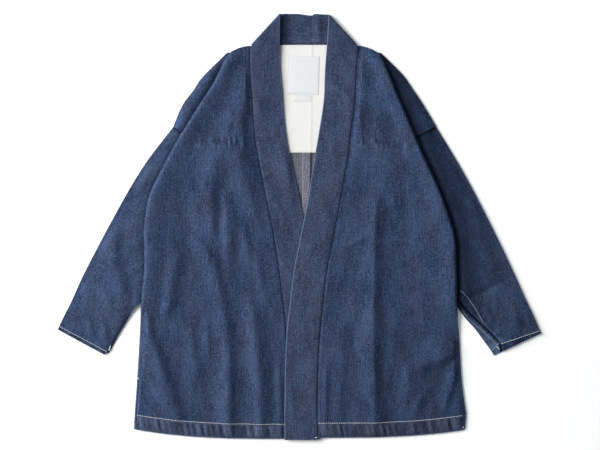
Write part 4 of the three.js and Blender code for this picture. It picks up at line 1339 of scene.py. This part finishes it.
# The noises of washed denim: bumps in a metre across and along it, detail and roughness.
DENIM_NOISE = {
    "clouds": ((30, 16), 3, 0.5),
    "patches": ((26, 15), 3, 0.6),
    "mottle": ((390, 250), 3, 0.65),
    "grain": ((720, 500), 1, 0.5),
    "streaks": ((480, 36), 2, 0.6),
    "slubs": ((400, 170), 2, 0.7),
    "flecks": ((350, 330), 3, 0.7),
}


def denim(name, deep, mid, fleck, wear, flecks=0.9):
    """Washed denim: indigo in clouds and slubby streaks, pale where it rubs and where a painted
    highlight is, and dark where painted shade is.
    """
    material, tree, shader = cloth_shader(name, 0.95, 0.1)
    noise = {kind: noise_value(tree, *row) for kind, row in DENIM_NOISE.items()}
    ribs = twill(tree)
    tone = attribute(tree, "tone", "Fac")
    spread_out = weighted(tree, [
        (ramp(tree, noise["clouds"], 0.3, 0.7), 0.16),
        (ramp(tree, noise["mottle"], 0.3, 0.7), 0.36),
        (ramp(tree, noise["grain"], 0.25, 0.75), 0.26),
        (ramp(tree, noise["streaks"], 0.3, 0.7), 0.22),
    ])
    brown = calculated(tree, "MULTIPLY", ramp(tree, noise["flecks"], 0.47, 0.66, 0.0, flecks),
                       ramp(tree, noise["patches"], 0.4, 0.62, 0.25, 1.0))
    worn_and_lit = calculated(tree, "MULTIPLY", ramp(tree, tone, 0.0, 1.0),
                      ramp(tree, noise["mottle"], 0.25, 0.6, 0.45, 1.0))
    colour = mixed(tree, ramp(tree, spread_out, 0.375, 0.635), deep, mid)
    # The tone's pale end is rubbed cloth and painted highlights; its dark end is mostly painted
    # shade.
    layers = [
        (brown, fleck),
        (ramp(tree, ribs, 0.4, 0.95, 0.0, 0.16), wear),
        (ramp(tree, noise["slubs"], 0.56, 0.76, 0.0, 0.6), wear),
        (worn_and_lit, wear),
        (ramp(tree, tone, 0.0, -0.6, 0.0, 0.7), darker(deep, 0.5)),
        (ramp(tree, tone, -0.75, -1.5, 0.0, 0.85), darker(deep, 0.12)),
    ]
    for factor, shade in layers:
        colour = mixed(tree, factor, colour, shade)
    tree.links.new(colour, shader.inputs["Base Color"])
    bumped(tree, shader, weighted(tree, [(ribs, 0.35), (noise["mottle"], 1.0)]), 0.7, 0.0005)
    return material


def cotton(name, shade, deep, scale):
    """Plain white cloth with a fine crossed weave, darker along its sewn edges and with painted
    shade beside the collar.
    """
    material, tree, shader = cloth_shader(name, 0.9, 0.2)
    across = noise_value(tree, (scale, scale * 0.1), 2)
    along = noise_value(tree, (scale * 0.1, scale), 2)
    threads = calculated(tree, "MULTIPLY", across, along)
    colour = mixed(tree, ramp(tree, threads, 0.12, 0.4, 0.6, 1.0), deep, shade)
    clouds = noise_value(tree, (24, 18), 2)
    colour = mixed(tree, ramp(tree, clouds, 0.3, 0.7, 0.0, 0.5), colour, shade)
    tone = attribute(tree, "tone", "Fac")
    # the tone below zero: the sewn edges, and on the lining painted shade beside the collar
    sewn = ramp(tree, tone, 0.0, -1.0, 0.0, 0.6)
    colour = mixed(tree, sewn, colour, darker(deep, 0.45))
    tree.links.new(colour, shader.inputs["Base Color"])
    bumped(tree, shader, threads, 0.35, 0.0003)
    return material


def thread(name, shade):
    material, tree, shader = cloth_shader(name, 0.7, 0.3)
    texture = node(tree, "ShaderNodeTexNoise")
    texture.inputs["Scale"].default_value = 900
    coordinates = node(tree, "ShaderNodeTexCoord")
    tree.links.new(coordinates.outputs["Object"], texture.inputs["Vector"])
    colour = mixed(tree, texture.outputs["Fac"], darker(shade, 0.7), shade)
    tree.links.new(colour, shader.inputs["Base Color"])
    return material


# ---- stitches ----

# Lines of stitches beside the hems and the cuffs' vent, as points [x, y].
VENT_STITCHES = [[295.6, 291.3], [308.2, 281.4], [320.9, 267.1], [333.6, 248.1], [342, 233.3],
                 [346.8, 224.8]]
VENT_UNDER_STITCHES = [[297.7, 257.6], [308.2, 245.9], [320.9, 230.1], [339.9, 213.2],
                       [355.7, 198.4], [373.7, 180.5]]
FLAP_STITCHES = [[364.2, 168.9], [380, 186.8]]
SIDE_TACK = [[-311.2, 121], [-305.5, 116.2]]
CUFF_TACK = [[374, 177.6], [378.6, 172.6]]
BAND_DOT = [[29, 5.2], [32, 6.2]]
HEM_TACK = [[309.2, 23.4], [310, 26.2]]
SLEEVE_TACK = [[-362.4, 170], [-359.6, 179]]
LINING_STITCHES = [[-25, 746.5], [62, 746.5]]
STITCH_RINGS = 5
STITCH_SIDES = 6
STITCH_SINK = 0.1  # how far a stitch sinks into its cloth


def along_path(points, pitch):
    """Places a pitch apart along a line of points, with the way that it runs there."""
    points = np.asarray(points, float)
    run = run_along(points)
    at = np.arange(pitch / 2, max(run[-1], pitch), pitch)
    spots, ahead, behind = (
        np.stack([np.interp(at + shift, run, points[:, k]) for k in range(2)], axis=-1)
        for shift in (0, 0.5, -0.5))
    return spots, unit(ahead - behind)


def rest_on(surface, spots):
    """The height of a surface's points nearest to each spot."""
    heights = []
    for spot in spots:
        distance = np.sum((surface[:, :2] - spot) ** 2, axis=1)
        near = np.argpartition(distance, 4)[:4]
        weight = 1 / (distance[near] + 0.05)
        heights.append(float(np.sum(surface[near, 2] * weight) / weight.sum()))
    return np.array(heights)


def stitch_points(spot, way, height, length, radius):
    """One stitch: rings along it that grow thin towards its ends."""
    run = np.linspace(-1, 1, STITCH_RINGS)[:, None]
    size = radius * np.sqrt(1 - (run * 0.93) ** 2)
    angle = np.arange(STITCH_SIDES)[None, :] * 2 * np.pi / STITCH_SIDES
    aside = np.array([-way[1], way[0]])
    flat = spot + (run * length / 2)[..., None] * way + (np.cos(angle) * size)[..., None] * aside
    lift = height - STITCH_SINK + 0.6 * radius + np.sin(angle) * size
    return lifted(flat, lift).reshape(-1, 3)


def stitch_faces():
    """The faces between one stitch's rings, and a cap at each end."""
    faces = []
    for ring in range(STITCH_RINGS - 1):
        for k in range(STITCH_SIDES):
            a = ring * STITCH_SIDES + k
            b = ring * STITCH_SIDES + (k + 1) % STITCH_SIDES
            faces.append([a, b, b + STITCH_SIDES, a + STITCH_SIDES])
    cap = np.arange(STITCH_SIDES)
    faces.append(cap[::-1].tolist())
    faces.append((cap + (STITCH_RINGS - 1) * STITCH_SIDES).tolist())
    return faces


def stitches(name, rows, material, pitch=4.2, length=3.7, radius=0.52):
    """Rows of single stitches as one mesh. rows: pairs of a line of points and the surface
    that it is sewn on."""
    made = []
    for line, surface in rows:
        spots, ways = along_path(line, pitch)
        for spot, way, height in zip(spots, ways, rest_on(surface, spots)):
            made.append(stitch_points(spot, way, height, length, radius))
    one = stitch_faces()
    count = STITCH_RINGS * STITCH_SIDES
    faces = [[corner + k * count for corner in face] for k in range(len(made)) for face in one]
    sewn = mesh_object(name, to_frame(np.concatenate(made)).tolist(), faces, [material])
    sewn.data.polygons.foreach_set("use_smooth", np.ones(len(faces), bool))
    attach(sewn, "root")


def hem_line(side):
    """The line of stitches along the hem, from the collar to near the side."""
    share = np.linspace(0.008, 0.985, 60)[:, None]
    last = np.array([float(HEM_EDGE)])
    low, high = (place_in(BODY[side], name, last)[0] for name in ("seam", "edge"))
    spot = low * (1 - share) + high * share
    spot[:, 1:] += (high[1] - low[1]) * (share**3 - share) + HEM_DEPTH
    return spot


def cuff_line(side):
    """The line of stitches round the cuff's upper side."""
    rows = sleeve_table(side)
    place = np.array([CUFF_PLACE[side]])
    outer, top = (place_in(rows, name, place)[0] for name in ("outer", "top"))
    share = np.linspace(0.02, 0.98, 20)[:, None]
    return outer * (1 - share) + top * share


def inner_under_ply(surface):
    """The upper side of a sleeve's ply that lies on the floor."""
    floor_ply = surface[surface[:, 2] < 1.0]
    return floor_ply + np.array([0, 0, PLY])


def sew(surfaces, material, faded):
    upper = {}
    for side in ("right", "left"):
        sleeve_surface = surfaces["sleeve", side]
        upper[side] = sleeve_surface[sleeve_surface[:, 2] > 2.3]
        rows = [(hem_line(side), surfaces["front", side]), (cuff_line(side), upper[side])]
        stitches(f"stitches_{side}", rows, material)
    lower = inner_under_ply(surfaces["sleeve", "left"])
    vent_rows = [(VENT_STITCHES, upper["left"]), (VENT_UNDER_STITCHES, lower),
                 (FLAP_STITCHES, lower)]
    stitches("vent_stitches", vent_rows, faded, pitch=3.7, length=3.6, radius=0.42)
    tacks = [(SIDE_TACK, surfaces["front", "right"]), (CUFF_TACK, lower),
             (BAND_DOT, surfaces["collar", "left"]), (HEM_TACK, surfaces["front", "left"]),
             (SLEEVE_TACK, upper["right"])]
    stitches("bar_tacks", tacks, material, pitch=1.2, length=1.9, radius=0.85)
    lining_rows = [(LINING_STITCHES, surfaces["lining"])]
    stitches("lining_stitches", lining_rows, material, pitch=3.2, length=2.4, radius=0.25)



# ---- the room ----

# Metres, from here on.
FLOOR_HALF = 4.0
FLOOR_DROP = 0.0004
FLOOR_COLOUR = (0.985, 0.975, 0.96, 1)
WINDOW_PLACE = (-3.3, 1.14, 1.8)
WINDOW_SIZE = 3.2
WINDOW_POWER = 372
WINDOW_COLOUR = (1.0, 0.99, 0.97)
SKY_COLOUR = (0.86, 0.93, 1.0, 1)
SKY_STRENGTH = 0.41
CAMERA_HEIGHT = 2.85
CAMERA_AIM = [0, 408.5, 0]  # millimetres on the cutting table
LENS = 90
SENSOR = 36


def room():
    """A pale floor just below the jacket, one large light from the left, and a pale sky."""
    h = FLOOR_HALF
    corners = [(-h, -h, 0), (h, -h, 0), (h, h, 0), (-h, h, 0)]
    paint, _, shader = cloth_shader("floor_paint", 1.0, 0.0)
    shader.inputs["Base Color"].default_value = FLOOR_COLOUR
    floor = mesh_object("floor", corners, [(0, 1, 2, 3)], [paint])
    floor.location.z = -FLOOR_DROP

    window = bpy.data.lights.new("window", "AREA")
    window.shape = "SQUARE"
    window.size = WINDOW_SIZE
    window.energy = WINDOW_POWER
    window.color = WINDOW_COLOUR
    lamp = bpy.data.objects.new("window", window)
    place = Vector(WINDOW_PLACE)
    lamp.location = place
    lamp.rotation_euler = (-place).to_track_quat("-Z", "Y").to_euler()
    bpy.context.scene.collection.objects.link(lamp)

    world = bpy.data.worlds.new("sky")
    world.use_nodes = True
    background = world.node_tree.nodes["Background"]
    background.inputs["Color"].default_value = SKY_COLOUR
    background.inputs["Strength"].default_value = SKY_STRENGTH
    bpy.context.scene.world = world


def camera():
    """Straight above the middle of the picture, 1140 mm of the floor across the view."""
    view = bpy.data.cameras.new("camera")
    view.lens = LENS
    view.sensor_width = SENSOR
    view.clip_end = 20
    made = bpy.data.objects.new("camera", view)
    made.location = (*to_frame(CAMERA_AIM)[:2], CAMERA_HEIGHT)
    bpy.context.scene.collection.objects.link(made)
    bpy.context.scene.camera = made
    bpy.context.scene.view_settings.view_transform = "Standard"


# ---- the jacket ----

FLECK = (0.058, 0.042, 0.050)
WEAR = (0.105, 0.150, 0.245)
face = denim("denim_face", (0.004, 0.011, 0.036), (0.034, 0.064, 0.142), FLECK, WEAR)
sleeve_face = denim("denim_sleeve", (0.005, 0.013, 0.039), (0.040, 0.072, 0.152), FLECK, WEAR)
band_face = denim("denim_band", (0.008, 0.014, 0.039), (0.046, 0.070, 0.140), FLECK, WEAR, 1.0)
hem_face = denim("denim_hem", (0.008, 0.012, 0.030), (0.044, 0.058, 0.110), FLECK, WEAR, 1.0)
wrong_side = denim("denim_wrong_side", (0.068, 0.070, 0.094), (0.205, 0.208, 0.262),
                   (0.15, 0.125, 0.120), (0.34, 0.35, 0.41), 0.8)
lining_cotton = cotton("cotton_lining", (0.69, 0.68, 0.66), (0.62, 0.60, 0.575), 900)
label_cotton = cotton("label_cloth", (0.64, 0.64, 0.655), (0.60, 0.60, 0.615), 1600)
white_thread = thread("thread_white", (0.66, 0.66, 0.68))
blue_thread = thread("thread_faded", (0.38, 0.44, 0.52))


def wear_cloth(made, node_name):
    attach(made, "root")
    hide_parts(node_name)


surfaces = {}
for side in ("right", "left"):
    pieces = {
        "back": back(side, [face, wrong_side]),
        "sleeve": sleeve(side, [sleeve_face, wrong_side]),
        "front": front(side, [face, wrong_side, hem_face]),
        "collar": collar(side, [band_face, band_face]),
    }
    for kind, (made, surface) in pieces.items():
        wear_cloth(made, f"{kind}_{side}")
        surfaces[kind, side] = surface

seam_allowance(wrong_side)
lining, surfaces["lining"] = yoke_lining(lining_cotton)
wear_cloth(lining, "yoke_lining")
main_label = label("label_main_cloth", (6.0, 693.4), (59.5, 72.6), -0.03, label_cotton)
wear_cloth(main_label, "label_main")
small_label = label("label_small_cloth", (5.2, 649.2), (34, 12.6), -0.03, label_cotton)
wear_cloth(small_label, "label_small")
sew(surfaces, white_thread, blue_thread)

room()
camera()
